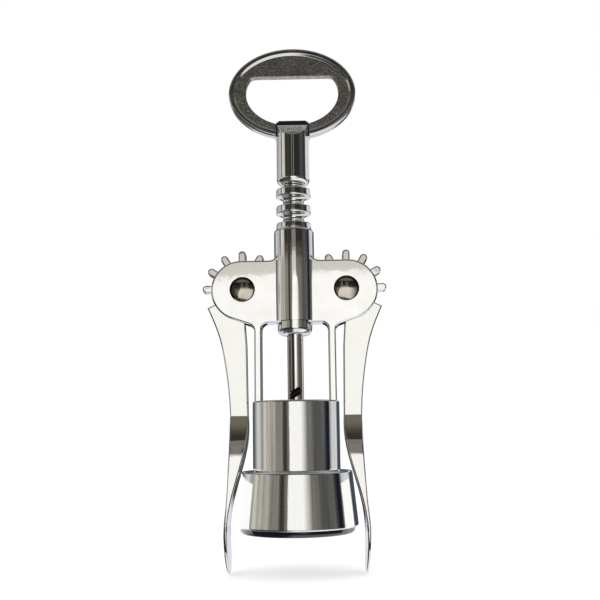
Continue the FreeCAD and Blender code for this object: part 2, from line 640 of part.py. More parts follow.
def seat_head(body):
    """Thins the head's lower band to the tab that sits in the neck's slot."""
    half_width = TANG_HALF_WIDTH + SEAT_CLEARANCE
    above = TANG_TOP + SEAT_CLEARANCE
    for side in (-1, 1):
        middle = side * (TAB_HALF_THICKNESS + HEAD_HALF_THICKNESS)
        cheek_space = Part.makeBox(
            2 * half_width, 2 * HEAD_HALF_THICKNESS, above - TAB_BOTTOM,
            Vector(-half_width, middle - HEAD_HALF_THICKNESS, TAB_BOTTOM),
        )
        body = body.cut(cheek_space)
    tab = Part.makeBox(
        2 * TAB_HALF_WIDTH, 2 * TAB_HALF_THICKNESS, OPENING_CENTRE_Z - OPENING_HALF_HEIGHT - TAB_BOTTOM,
        Vector(-TAB_HALF_WIDTH, -TAB_HALF_THICKNESS, TAB_BOTTOM + SEAT_CLEARANCE),
    )
    return body.fuse(tab).removeSplitter()


def save(name, shape):
    solids = shape.Solids
    whole = solids[0] if len(solids) == 1 else Part.makeCompound(solids)
    whole.exportStep("parts/" + name + ".step")
    box = whole.BoundBox
    print(name, len(solids), whole.isValid(), round(whole.Volume, 1),
          [round(v, 2) for v in (box.XMin, box.XMax, box.YMin, box.YMax, box.ZMin, box.ZMax)])


save("frame", frame())
save("bell", bell())
save("bottle_ring", bottle_ring())
right_pin = pivot_pin()
save("right_pivot_pin", right_pin)
save("left_pivot_pin", mirrored(right_pin))
right_lever = lever()
save("right_lever", right_lever)
save("left_lever", mirrored(right_lever))
save("rack_sleeve", rack_sleeve())
save("handle_neck", handle_neck())
save("end_collar", end_collar())
save("worm", worm())
save("opener_head", opener_head())
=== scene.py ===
"""Wing corkscrew: the finished pieces around the fixed frame, and the studio that lights them."""

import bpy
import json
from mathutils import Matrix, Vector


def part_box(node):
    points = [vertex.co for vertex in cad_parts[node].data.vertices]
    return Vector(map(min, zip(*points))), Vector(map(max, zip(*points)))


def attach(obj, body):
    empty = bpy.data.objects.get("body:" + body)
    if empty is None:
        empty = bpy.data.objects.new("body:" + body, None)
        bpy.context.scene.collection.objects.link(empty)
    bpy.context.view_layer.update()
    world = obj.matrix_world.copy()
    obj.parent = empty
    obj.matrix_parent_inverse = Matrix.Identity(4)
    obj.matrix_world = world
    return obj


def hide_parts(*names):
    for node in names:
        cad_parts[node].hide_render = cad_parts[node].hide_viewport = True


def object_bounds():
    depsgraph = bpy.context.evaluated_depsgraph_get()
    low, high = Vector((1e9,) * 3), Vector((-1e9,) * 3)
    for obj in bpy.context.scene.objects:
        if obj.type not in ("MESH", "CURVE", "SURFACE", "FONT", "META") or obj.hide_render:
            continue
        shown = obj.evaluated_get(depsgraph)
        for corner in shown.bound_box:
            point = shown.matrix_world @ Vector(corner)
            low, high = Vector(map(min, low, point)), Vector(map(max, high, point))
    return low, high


bl_info = {
    "name": "Wing Corkscrew",
    "version": (1, 0, 0),
    "blender": (4, 5, 0),
    "location": "View3D > Sidebar > Corkscrew",
    "description": "Models and finishes the pieces of a wing corkscrew",
    "category": "Object",
}

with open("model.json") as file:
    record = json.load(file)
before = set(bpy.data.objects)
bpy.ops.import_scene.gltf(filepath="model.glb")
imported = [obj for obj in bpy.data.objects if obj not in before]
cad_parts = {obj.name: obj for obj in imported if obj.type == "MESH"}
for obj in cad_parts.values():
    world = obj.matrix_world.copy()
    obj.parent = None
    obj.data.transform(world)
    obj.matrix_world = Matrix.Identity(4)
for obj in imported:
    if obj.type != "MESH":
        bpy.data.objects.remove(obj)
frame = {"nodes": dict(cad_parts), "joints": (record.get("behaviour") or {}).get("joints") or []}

import json
import math

import bmesh
import bpy
from bpy.props import (
    FloatProperty,
    FloatVectorProperty,
    IntProperty,
    PointerProperty,
)
from bpy.types import Operator, Panel, PropertyGroup
from mathutils import Matrix, Vector

MM = 0.001
MICRON = 0.000001
# Points closer than this count as one.
TOUCH = 1e-6
CAD_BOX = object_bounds()
X_AXIS = (1, 0, 0)
Y_AXIS = (0, 1, 0)
Z_AXIS = (0, 0, 1)
# Steps over a rounded form and over a rounded edge.
CURVE_STEPS = 8
EDGE_STEPS = 4
# Where the gear's edge starts, and its points between the teeth.
GEAR_START = math.radians(266)
ROOT_MARGIN = math.radians(6)
ROOT_STEP = math.radians(4)
PIVOT = Vector(next(j["pos_m"] for j in frame["joints"] if j["name"] == "right_lever_lift"))


# ---- properties ----


def length(name, millimetres, description):
    """A length, given in millimetres."""
    return FloatProperty(
        name=name, description=description, default=millimetres * MM, unit="LENGTH", precision=5
    )


def angle(name, degrees, description):
    """An angle, given in degrees."""
    return FloatProperty(
        name=name, description=description, default=math.radians(degrees), unit="ROTATION"
    )


def factor(name, value, description):
    """A share from 0 to 1."""
    return FloatProperty(
        name=name, description=description, default=value, min=0.0, max=1.0, subtype="FACTOR"
    )


def colour(name, value, description):
    """A colour, each part from 0 to 1."""
    return FloatVectorProperty(
        name=name, description=description, default=value, min=0.0, max=1.0, size=3, subtype="COLOR"
    )


def count(name, value, description):
    """A whole number from 1 up."""
    return IntProperty(name=name, description=description, default=value, min=1)


class HeadSizes(PropertyGroup):
    """The oval handle with the cap lifter."""

    rim_round: length("Rim rounding", 0.7, "Rounding of the rim's outer edge")
    rim_flat: length("Rim flat", 1.6, "Rim's flat front ends this far from its outer edge")
    rim_width: length("Rim width", 2.5, "Rim with the slope down to the web, seen from the front")
    web_thickness: length("Web thickness", 2.5, "Thickness of the flat web inside the rim")
    opening_width: length("Opening width", 32.8, "Width of the opening at its widest")
    opening_height: length("Opening height", 24.0, "Height of the oval that the lip cuts off")
    opening_rise: length("Opening rise", 0.2, "Opening's middle above the head's middle")
    lip_height: length("Lip height", 5.8, "Straight lip above the opening's middle")
    corner_power: count("Corner power", 22, "Higher for sharper corners beside the lip")
    edge_round: length("Edge rounding", 0.45, "Rounding of the opening's edge")
    rim_steps: count("Rim steps", 6, "Steps over the rim's edge and over its slope")
    segments: count("Segments", 192, "Segments round the oval")


class NeckSizes(PropertyGroup):
    """The round neck, its bevelled top and the tang."""

    radius: length("Radius", 5.75, "Radius of the round neck")
    groove_radius: length("Groove radius", 3.65, "Radius at the bottom of the groove under it")
    core_radius: length("Core radius", 2.4, "Radius of the core rod inside the rings")
    shoulder_height: length("Shoulder height", 2.1, "Height of the rounded lower shoulder")
    bevel_height: length("Bevel height", 4.2, "Height of the two slanted facets")
    tang_height: length("Tang height", 6.2, "Height of the tang")
    tang_width: length("Tang width", 12.1, "Width of the tang, seen from the front")
    tang_thickness: length("Tang thickness", 4.4, "Thickness of the tang")
    tang_chamfer: length("Tang chamfer", 1.3, "Chamfer of the tang's upper corners")
    tang_taper: factor("Tang taper", 0.88, "Thickness at the tang's top over that at its bottom")
    edge_round: length("Edge rounding", 0.25, "Rounding of the facets' edges")
    segments: count("Segments", 128, "Segments round the neck")


class RackSizes(PropertyGroup):
    """The rod with ring-shaped teeth, and the collar under it."""

    pitch: length("Ring pitch", 6.06, "From one ring to the next")
    groove_radius: length("Groove radius", 1.6, "Half width of a groove, and radius of its bottom")
    groove_centre: length("Groove centre", 5.25, "Middle of that rounding from the axis")
    first_rise: length("First groove rise", 0.8, "Groove in mesh at rest, above the pivots")
    grooves_below: count("Grooves below", 1, "Grooves below the one in mesh")
    grooves_above: count("Grooves above", 6, "Grooves above the one in mesh, with the half one")
    bore_radius: length("Bore radius", 2.48, "Radius of the bore over the core rod")
    edge_round: length("Edge rounding", 0.5, "Rounding of the rings' edges")
    groove_steps: count("Groove steps", 14, "Steps over one groove")
    dome_height: length("Collar dome height", 2.6, "Height of the collar's rounded lower end")
    face_radius: length("Collar face radius", 4.1, "Radius of the collar's flat lower face")
    segments: count("Segments", 128, "Segments round the rod")


class BellSizes(PropertyGroup):
    """The stepped bell and the dark ring in its mouth."""

    upper_radius: length("Upper radius", 14.65, "Radius above the step")
    shoulder_radius: length("Shoulder radius", 18.5, "Radius just below the step")
    step_height: length("Step height", 20.1, "Height of the step above the ring's mouth")
    wall: length("Wall", 1.7, "Thickness of the bell's wall")
    roof: length("Roof", 1.8, "Thickness of the bell's top")
    hole_radius: length("Hole radius", 6.6, "Radius of the hole in the bell's top")
    edge_round: length("Edge rounding", 0.7, "Rounding of the outer edges")
    step_round: length("Step rounding", 0.5, "Hollow rounding inside the step")
    bottle_radius: length("Bottle radius", 15.2, "Bore over a bottle's lip")
    bottle_seat: length("Bottle seat", 6.0, "Depth of the ledge that rests on the lip")
    lip_radius: length("Ring lip radius", 19.2, "Outer radius of the ring's lip")
    lip_round: length("Ring lip rounding", 1.2, "Rounding of the ring's lower edge")
    headroom: length("Headroom", 1.0, "Skirt's inside above the ring")
    fit: length("Fit", 0.03, "Gap between the ring and the bell")
    segments: count("Segments", 192, "Segments round the bell")


class PinSizes(PropertyGroup):
    """The pivot pins with their domed ends."""

    rim_depth: length("Rim depth", 0.95, "Dome's edge below the cheek's face")
    dome_height: length("Dome height", 0.5, "Height of the domed end")
    edge_round: length("Edge rounding", 0.12, "Rounding of the dome's edge")
    dome_steps: count("Dome steps", 14, "Steps from the dome's middle to its edge")
    # painted shade: these three set where the frame's chamfer round a pin gets the near-black
    # finish, which stands in for the shadow on the hole's upper wall
    painted_shade_width: length("Crevice", 0.45, "Width of the dark edge in the frame round a pin")
    painted_shade_reach: factor("Crevice reach", 0.75, "Its lower end below the pin, over the radius")
    painted_shade_slope: factor("Crevice slope", 0.9, "Faces that look more to the front stay bright")
    segments: count("Segments", 96, "Segments round a pin")


class LeverSizes(PropertyGroup):
    """The two wing levers."""

    thickness: length("Thickness", 4.6, "Thickness of the gear and the flat arm")
    root_radius: length("Root radius", 10.3, "Radius between the gear's teeth")
    tip_radius: length("Tip radius", 13.8, "Radius over the gear's teeth")
    tooth_width: length("Tooth width", 2.6, "Width of one tooth")
    pitch_radius: length("Pitch radius", 12.0, "Pitch radius of the gear")
    teeth: count("Teeth", 7, "Teeth on each lever")
    shoulder_radius: length("Shoulder radius", 13.5, "Hooked shoulder from the pivot")
    shoulder_angle: angle("Shoulder angle", -26.4, "Shoulder's place below the level of the pivot")
    inner_x: length("Arm place", 16.05, "Straight arm's inner edge from the axis")
    lean: length("Lean", 0.65, "How far the inner edge leans out at the pivot")
    paddle_x: length("Paddle place", 22.7, "Paddle's inner face from the axis")
    arm_top_drop: length("Arm top drop", 19.1, "Arm's upper end below the pivot")
    arm_top_width: length("Arm top width", 8.6, "Arm's width at its upper end")
    flare_drop: length("Flare drop", 42.7, "Start of the flare below the pivot")
    waist_width: length("Waist width", 6.1, "Arm's width at the start of the flare")
    bend_drop: length("Bend drop", 45.0, "Start of the outward bend")
    root_drop: length("Paddle root drop", 69.0, "Paddle's narrow part below the pivot")
    paddle_root: length("Paddle root", 2.3, "Thickness of the paddle's narrow part")
    full_drop: length("Paddle full drop", 81.0, "End of the outward bend")
    paddle: length("Paddle", 1.6, "Paddle's thickness at the end of the bend")
    paddle_tip: length("Paddle tip", 0.8, "Thickness at the tip")
    tip_curl: length("Tip curl", 0.5, "How far the tip turns back in")
    half_depth: length("Paddle half depth", 8.2, "Half of the paddle's depth")
    flare_height: length("Flare height", 17.8, "Height of the flare")
    round_drop: length("Round drop", 85.0, "Where the paddle's sides start to round")
    tip_drop: length("Tip drop", 94.1, "Tip below the pivot")
    crown: length("Crown", 0.3, "How far the paddle's outer face is crowned")
    edge_round: length("Edge rounding", 0.5, "Rounding of the lever's edges")
    round_steps: count("Rounding steps", 4, "Steps over a rounded edge")
    cuts: count("Cuts", 7, "Cuts across the paddle's faces")
    arm_steps: count("Arm steps", 14, "Steps along the flat arm's edges")
    flare_steps: count("Flare steps", 14, "Steps down the flare")
    blade_steps: count("Blade steps", 9, "Steps down the paddle's even part")
    tip_steps: count("Tip steps", 10, "Steps down the paddle's rounded tip")


class WormSizes(PropertyGroup):
    """The shank and the screw."""

    shank_radius: length("Shank radius", 2.73, "Radius of the plain shank")
    shank_bottom: length("Shank bottom", 43.4, "Height at which the screw starts")
    notch_rise: length("Notch rise", 2.5, "Where the screw's groove runs out, above its start")
    notch_depth: length("Notch depth", 1.2, "Depth of the groove where it runs out")
    notch_half_height: length("Notch half height", 1.35, "Half of the groove's height there")
    notch_half_width: length("Notch half width", 2.3, "Half of the groove's width there")
    screw_radius: length("Screw radius", 4.38, "Outer radius of the screw")
    core_radius: length("Core radius", 1.5, "Radius of the screw's core")
    pitch: length("Pitch", 8.6, "Rise of one turn")
    tip: length("Tip height", 8.0, "Height of the point")
    point_length: length("Point length", 9.0, "Length over which the screw tapers")
    point_share: factor("Point share", 0.06, "Radius of the point, over the screw's radius")
    flare_length: length("Flare length", 3.2, "Length over which it leaves the shank")
    fin_root: length("Fin root", 3.4, "Height of the fin at the core")
    fin_edge: length("Fin edge", 0.9, "Height of the fin at its outer edge")
    fin_depth: factor("Fin depth", 0.6, "Where the fin starts inside the core, over its radius")
    stub_radius: length("Stub radius", 1.3, "Radius of the stub in the core rod")
    steps: count("Steps", 40, "Steps in one turn of the screw")
    segments: count("Segments", 96, "Segments round the shank")
    core_segments: count("Core segments", 48, "Segments round the screw's core")
    notch_rings: count("Notch rings", 30, "Rings of the shank beside the notch")


class Finishes(PropertyGroup):
    """Colours and roughness of the surfaces."""

    chrome: colour("Chrome", (0.88, 0.875, 0.86), "Polished plating")
    chrome_shade: colour("Chrome shade", (0.80, 0.795, 0.77), "Plating where it is thin")
    lever: colour("Lever", (0.84, 0.83, 0.805), "Plating of the levers")
    bell: colour("Bell", (0.84, 0.84, 0.825), "Plating of the bell")
    bell_shade: colour("Bell shade", (0.78, 0.78, 0.76), "Streaks in it")
    head: colour("Head", (0.72, 0.71, 0.68), "Plating of the handle's rim")
    head_grain: colour("Head grain", (0.38, 0.365, 0.33), "Rough cast web of the handle")
    steel: colour("Steel", (0.58, 0.54, 0.475), "Turned ends of the pins")
    worm: colour("Worm", (0.95, 0.93, 0.89), "Drawn and plated screw")
    # painted reflection: the dark bands along the worm stand in for the dark room mirrored in the
    # round wire
    worm_painted_band: colour("Worm line", (0.16, 0.15, 0.14), "Dark lines along it")
    plastic: colour("Plastic", (0.005, 0.006, 0.012), "Dark ring in the mouth")
    polish: factor("Polish roughness", 0.025, "Roughness of polished plating")


class Studio(PropertyGroup):
    """The camera, the lamp, the floor and the lit screen and cards that the plating mirrors."""

    camera_x: length("Camera X", 6.0, "Camera's place to the right of the axis")
    camera_y: length("Camera Y", -306.2, "Camera's place in front of the axis")
    camera_z: length("Camera Z", 31.8, "Camera's height above the ring's mouth")
    camera_pitch: angle("Camera pitch", 8.538, "How far the camera looks up")
    camera_yaw: angle("Camera yaw", 0.78, "How far it looks to the left")
    camera_roll: angle("Camera roll", -0.78, "How far it is turned about its own axis")
    lens: FloatProperty(name="Lens", description="Focal length in millimetres", default=54.0)
    floor_size: length("Floor size", 6000.0, "Side of the floor")
    floor_gap: length("Floor gap", 0.3, "Floor below the tips of the levers")
    floor_colour: colour("Floor colour", (0.5, 0.5, 0.5), "Matt part of the pale floor")
    floor_lift: factor("Floor lift", 0.64, "How far the floor is lifted towards white")
    ambient: factor("Ambient", 0.9, "Level of the light from all round")
    lamp_power: FloatProperty(name="Lamp power", description="Watts of the soft lamp", default=1.2)
    lamp_size: length("Lamp size", 500.0, "Side of the soft lamp")
    lamp_place: FloatVectorProperty(
        name="Lamp place", description="Over the camera's left shoulder",
        default=(-0.35, -0.45, 0.65), subtype="XYZ", unit="LENGTH",
    )
    screen_distance: length("Screen distance", 520.0, "Screen behind the camera, from the axis")
    screen_top: length("Screen top", 330.0, "Height of the screen")
    screen_bottom: length("Screen bottom", -80.0, "Lower edge of the screen")
    arch_left: length("Arch left", -158.0, "Left side of the white arch on the screen")
    arch_right: length("Arch right", 285.0, "Right side of the arch")
    arch_foot: length("Arch foot", -50.0, "Lower edge of the arch")
    arch_base: length("Arch base", 92.0, "Height from which the arch closes")
    arch_top: length("Arch top", 180.0, "Height of the arch")
    border_left: length("Border left", -112.0, "Left end of the grey border over the arch")
    border_right: length("Border right", 98.0, "Right end of the border")
    border_top: length("Border top", 201.0, "Height of the border, with a brown strip over it")
    strip_height: length("Strip height", 29.0, "Height of the brown strip")
    strip_blur: length("Strip blur", 3.0, "Half height over which the strip starts")
    tower_middle: length("Tower middle", -11.0, "Middle between two brown towers on the border")
    tower_offset: length("Tower offset", 59.0, "Each tower's middle from there")
    tower_width: length("Tower width", 40.0, "Width of a tower")
    card_distance: length("Card distance", 50.0, "Low white cards from the axis")
    card_top: length("Card top", 19.3, "Height of the cards")
    card_bottom: length("Card bottom", -16.0, "Lower edge of the cards")


class CorkscrewSettings(PropertyGroup):
    """All sizes and finishes."""

    head: PointerProperty(type=HeadSizes)
    neck: PointerProperty(type=NeckSizes)
    rack: PointerProperty(type=RackSizes)
    bell: PointerProperty(type=BellSizes)
    pin: PointerProperty(type=PinSizes)
    lever: PointerProperty(type=LeverSizes)
    worm: PointerProperty(type=WormSizes)
    finishes: PointerProperty(type=Finishes)
    studio: PointerProperty(type=Studio)


# ---- mesh helpers ----


def linked_object(bm, name, materials):
    """Makes an object of a bmesh, which it frees."""
    mesh = bpy.data.meshes.new(name)
    bm.to_mesh(mesh)
    bm.free()
    for material in materials:
        mesh.materials.append(material)
    made = bpy.data.objects.new(name, mesh)
    bpy.context.scene.collection.objects.link(made)
    return made


def finish_piece(bm, name, body, nodes, materials, crease=30.0):
    """Makes a piece of a bmesh, in place, riding on its body and standing for its nodes."""
    piece = linked_object(bm, name, materials)
    piece.data.shade_smooth()
    piece.data.set_sharp_from_angle(angle=math.radians(crease))
    even = piece.modifiers.new("even_shading", "WEIGHTED_NORMAL")
    even.keep_sharp = True
    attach(piece, body)
    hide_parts(*nodes)
    return piece


def turned(corners, segments, axis=Z_AXIS, centre=(0, 0, 0)):
    """Spins a closed outline of (radius, height) corners about an axis through the centre."""
    bm = bmesh.new()
    along = Vector(axis)
    outward = Vector(X_AXIS)
    verts = [bm.verts.new(Vector(centre) + outward * r + along * h) for r, h in corners]
    edges = [bm.edges.new(pair) for pair in zip(verts, verts[1:] + verts[:1])]
    bmesh.ops.spin(
        bm, geom=verts + edges, cent=centre, axis=axis, angle=math.tau,
        steps=segments, use_merge=True,
    )
    bmesh.ops.remove_doubles(bm, verts=bm.verts, dist=TOUCH)
    loose = [edge for edge in bm.edges if not edge.link_faces]
    bmesh.ops.delete(bm, geom=loose, context="EDGES")
    bmesh.ops.recalc_face_normals(bm, faces=bm.faces)
    return bm


def only(kind, geometry):
    """The vertices or the faces of what an operator made."""
    return [part for part in geometry if isinstance(part, kind)]


def round_edges(bm, edges, width, segments, **settings):
    """Bevels some edges, and returns the operator's result."""
    return bmesh.ops.bevel(
        bm, geom=edges, offset=width, offset_type="OFFSET", affect="EDGES",
        segments=segments, profile=0.5, material=-1, **settings,
    )


def round_ring(bm, radius, height, width, segments=EDGE_STEPS):
    """Rounds the ring-shaped edge at this radius and height of a piece turned about Z."""
    ring = [
        edge for edge in bm.edges
        if all(
            abs(math.hypot(v.co.x, v.co.y) - radius) < TOUCH and abs(v.co.z - height) < TOUCH
            for v in edge.verts
        )
    ]
    round_edges(bm, ring, width, segments, clamp_overlap=True)


def round_sharp(bm, width, limit):
    """Rounds every edge that is sharper than the limit, in degrees."""
    bm.normal_update()
    sharp = [
        edge for edge in bm.edges
        if len(edge.link_faces) == 2 and edge.calc_face_angle() > math.radians(limit)
    ]
    round_edges(bm, sharp, width, 3, clamp_overlap=True, loop_slide=False)


def quarter(start, end):
    """Points of a quarter oval that leaves start straight up or down and reaches end level."""
    points = []
    for step in range(CURVE_STEPS + 1):
        turn = math.pi / 2 * step / CURVE_STEPS
        points.append((
            end[0] + (start[0] - end[0]) * math.cos(turn),
            start[1] + (end[1] - start[1]) * math.sin(turn),
        ))
    return points


def smooth_through(points):
    """A smooth function through (place, value) points, with a natural start and end."""
    secants = [(b[1] - a[1]) / (b[0] - a[0]) for a, b in zip(points, points[1:])]
    slopes = [(b[1] - a[1]) / (b[0] - a[0]) for a, b in zip(points, points[2:])]
    slopes = [1.5 * secants[0] - 0.5 * slopes[0]] + slopes + [1.5 * secants[-1] - 0.5 * slopes[-1]]

    def value(place):
        index = 0
        while index < len(points) - 2 and place > points[index + 1][0]:
            index += 1
        (low, first), (high, last) = points[index], points[index + 1]
        span = high - low
        t = (place - low) / span
        return (
            (1 + 2 * t) * (1 - t) ** 2 * first + t * (1 - t) ** 2 * span * slopes[index]
            + t * t * (3 - 2 * t) * last + t * t * (t - 1) * span * slopes[index + 1]
        )

    return value


# ---- material helpers ----


def add_node(tree, kind, inputs=None, **settings):
    """Adds a node, with its settings and the values or links of its inputs."""
    node = tree.nodes.new(kind)
    for key, value in settings.items():
        setattr(node, key, value)
    for key, value in (inputs or {}).items():
        if isinstance(value, bpy.types.NodeSocket):
            tree.links.new(value, node.inputs[key])
        else:
            node.inputs[key].default_value = value
    return node


def maths(tree, operation, *values):
    """A Math node's result."""
    inputs = dict(enumerate(values))
    return add_node(tree, "ShaderNodeMath", inputs, operation=operation).outputs[0]


def noise(tree, vector, scale, detail=3.0, roughness=0.5):
    """A noise pattern, from about 0 to 1."""
    inputs = {"Vector": vector, "Scale": scale, "Detail": detail, "Roughness": roughness}
    return add_node(tree, "ShaderNodeTexNoise", inputs).outputs["Fac"]


def remap(tree, value, low, high, to_low, to_high, smooth=False):
    """Carries a range of values over to another, and holds the ends."""
    inputs = {
        "Value": value, "From Min": low, "From Max": high, "To Min": to_low, "To Max": to_high,
    }
    kind = "SMOOTHSTEP" if smooth else "LINEAR"
    return add_node(tree, "ShaderNodeMapRange", inputs, interpolation_type=kind).outputs["Result"]


def blend_colours(tree, share, first, second):
    """Mixes two colours, each of them a socket or red, green and blue."""
    first, second = (
        end if isinstance(end, bpy.types.NodeSocket) else (*end, 1.0) for end in (first, second)
    )
    inputs = {0: share, 6: first, 7: second}
    return add_node(tree, "ShaderNodeMix", inputs, data_type="RGBA").outputs[2]


def bump(tree, height, distance, before=None):
    """A normal that follows a height, over the one before it."""
    inputs = {"Height": height, "Distance": distance, "Strength": 1.0}
    if before is not None:
        inputs["Normal"] = before
    return add_node(tree, "ShaderNodeBump", inputs).outputs["Normal"]


def mix_shaders(tree, share, first, second):
    """Mixes two shaders."""
    return add_node(tree, "ShaderNodeMixShader", {0: share, 1: first, 2: second}).outputs[0]


def glow(tree, light, strength=1.0):
    """A shader that gives off light, whose colour is a socket or red, green and blue."""
    if not isinstance(light, bpy.types.NodeSocket):
        light = (*light, 1.0)
    inputs = {"Color": light, "Strength": strength}
    return add_node(tree, "ShaderNodeEmission", inputs).outputs[0]


def round_the_axis(tree, place, along):
    """Coordinates that run round the Z axis and up it, for streaks on a turned surface."""
    split = add_node(tree, "ShaderNodeSeparateXYZ", {"Vector": place})
    turn = maths(tree, "ARCTAN2", split.outputs["Y"], split.outputs["X"])
    # the cosine and sine keep the pattern whole where the angle jumps
    x, y = maths(tree, "COSINE", turn), maths(tree, "SINE", turn)
    z = maths(tree, "MULTIPLY", split.outputs["Z"], along)
    return add_node(tree, "ShaderNodeCombineXYZ", {"X": x, "Y": y, "Z": z}).outputs["Vector"]


def plated_metal(tree, place, bright, shade, rough, ripple=12 * MICRON):
    """Polished plating: slow ripples from the casting, small pits and a patchy polish."""
    patches = noise(tree, place, 160, 4.0, 0.6)
    slow = noise(tree, place, 210, 2.0)
    fine = noise(tree, place, 2600, 2.0)
    base = blend_colours(tree, remap(tree, patches, 0.35, 0.75, 0.0, 1.0), bright, shade)
    gloss = remap(tree, patches, 0.3, 0.8, rough, rough * 2.2)
    return base, gloss, bump(tree, fine, 0.6 * MICRON, bump(tree, slow, ripple))


def streaked_metal(tree, place, bright, shade, rough):
    """Plating over a turned surface: upright streaks left by the polishing wheel, and fine pits."""
    polar = round_the_axis(tree, place, 6.0)
    streaks = noise(tree, polar, 34, 5.0, 0.65)
    patches = noise(tree, place, 140, 4.0, 0.6)
    fine = noise(tree, place, 1700, 2.0)
    base = blend_colours(tree, remap(tree, streaks, 0.35, 0.7, 0.0, 1.0), bright, shade)
    gloss = remap(tree, patches, 0.3, 0.8, rough, rough * 2.4)
    return base, gloss, bump(tree, fine, 1.8 * MICRON, bump(tree, streaks, 6 * MICRON))


def grained_metal(tree, place, bright, shade):
    """A rough cast face under thin plating: fine grain with brighter specks."""
    grain = noise(tree, place, 1300, 3.0, 0.7)
    specks = noise(tree, place, 1500, 2.0, 0.6)
    patches = noise(tree, place, 220, 3.0)
    base = blend_colours(tree, remap(tree, specks, 0.5, 0.68, 0.0, 1.0), shade, bright)
    gloss = remap(tree, patches, 0.3, 0.7, 0.20, 0.30)
    return base, gloss, bump(tree, grain, 120 * MICRON, bump(tree, patches, 50 * MICRON))


def turned_steel(tree, place, bright):
    """Turned steel with a few soft stains."""
    shade = tuple(0.85 * part for part in bright)
    patches = noise(tree, place, 420, 4.0, 0.6)
    base = blend_colours(tree, remap(tree, patches, 0.42, 0.62, 0.0, 1.0), bright, shade)
    gloss = remap(tree, patches, 0.3, 0.8, 0.08, 0.14)
    return base, gloss, bump(tree, noise(tree, place, 500, 2.0), 1.5 * MICRON)


def steel_with_painted_bands(tree, place, bright, line):
    """Plated wire with painted dark bands along it: painted reflections of a dark room mirrored in
    the round wire, laid into the base colour round its axis.
    """
    polar = round_the_axis(tree, place, 2.0)
    # painted reflection: these bands mix the dark and the bright colour round the axis
    lines = noise(tree, polar, 2.6, 3.0, 0.6)
    base = blend_colours(tree, remap(tree, lines, 0.42, 0.56, 0.0, 1.0), line, bright)
    gloss = remap(tree, noise(tree, place, 300, 3.0), 0.3, 0.7, 0.02, 0.05)
    return base, gloss, bump(tree, noise(tree, place, 900, 2.0), MICRON)


def moulded_plastic(tree, place, body):
    """Glossy plastic with a faint moulded grain."""
    patches = noise(tree, place, 240, 3.0)
    lighter = tuple(1.9 * part for part in body)
    base = blend_colours(tree, remap(tree, patches, 0.3, 0.7, 0.0, 1.0), body, lighter)
    gloss = remap(tree, patches, 0.3, 0.7, 0.12, 0.20)
    return base, gloss, bump(tree, noise(tree, place, 1400, 2.0), 8 * MICRON)


def material_named(finish):
    """One of the finishes, made when it is first asked for."""
    name = "finish_" + finish
    if name in bpy.data.materials:
        return bpy.data.materials[name]
    f = bpy.context.scene.corkscrew.finishes
    # painted shade: the dark "groove" finish stands in for the shade in recesses; it goes on the
    # worm's notch and on the frame's chamfer round each pin
    dark = tuple(0.2 * part for part in f.worm_painted_band)
    recipes = {
        "chrome": (plated_metal, f.chrome, f.chrome_shade, f.polish),
        "bell": (streaked_metal, f.bell, f.bell_shade, f.polish),
        "lever": (plated_metal, f.lever, f.chrome_shade, f.polish, 30 * MICRON),
        "head_rim": (plated_metal, f.head, f.chrome_shade, 4 * f.polish, 8 * MICRON),
        "head_web": (grained_metal, f.head, f.head_grain),
        "pin": (turned_steel, f.steel),
        "worm": (steel_with_painted_bands, f.worm, f.worm_painted_band),
        "groove": (plated_metal, dark, dark, 12 * f.polish),
        "plastic": (moulded_plastic, f.plastic),
    }
    constants = {"Metallic": 1.0}
    if finish == "plastic":
        constants = {"Coat Weight": 1.0, "Coat Roughness": 0.06}
    recipe, *values = recipes[finish]
    material = bpy.data.materials.new(name)
    material.use_nodes = True
    tree = material.node_tree
    shader = tree.nodes["Principled BSDF"]
    for key, value in constants.items():
        shader.inputs[key].default_value = value
    place = add_node(tree, "ShaderNodeTexCoord").outputs["Object"]
    for key, socket in zip(("Base Color", "Roughness", "Normal"), recipe(tree, place, *values)):
        tree.links.new(socket, shader.inputs[key])
    return material


# ---- the pieces ----


class CORKSCREW_OT_frame(Operator):
    """Finish the casting with the barrel, the cheeks and the legs"""

    bl_idname = "corkscrew.finish_frame"
    bl_label = "Frame"

    def execute(self, context):
        s = context.scene.corkscrew.pin
        low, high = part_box("right_pivot_pin")
        radius = (high.x - low.x) / 2
        node = frame["nodes"]["frame"]
        node.data.materials.clear()
        for finish in ("chrome", "groove"):
            node.data.materials.append(material_named(finish))
        # painted shade: the upper part of the chamfer round each pin gets the near-black finish,
        # which stands in for the shadow on the hole's upper wall
        for face in node.data.polygons:
            spot = node.matrix_world @ face.center
            rise = spot.z - PIVOT.z
            reach = math.hypot(abs(spot.x) - PIVOT.x, rise)
            upper = rise > -s.painted_shade_reach * radius
            if upper and reach < radius + s.painted_shade_width and abs(face.normal.y) < s.painted_shade_slope:
                face.material_index = 1
        return {"FINISHED"}


def bell_slope(s):
    """How much the bell's skirt widens on its way down."""
    low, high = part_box("bell")
    return (high.x - s.shoulder_radius) / (s.step_height - low.z)


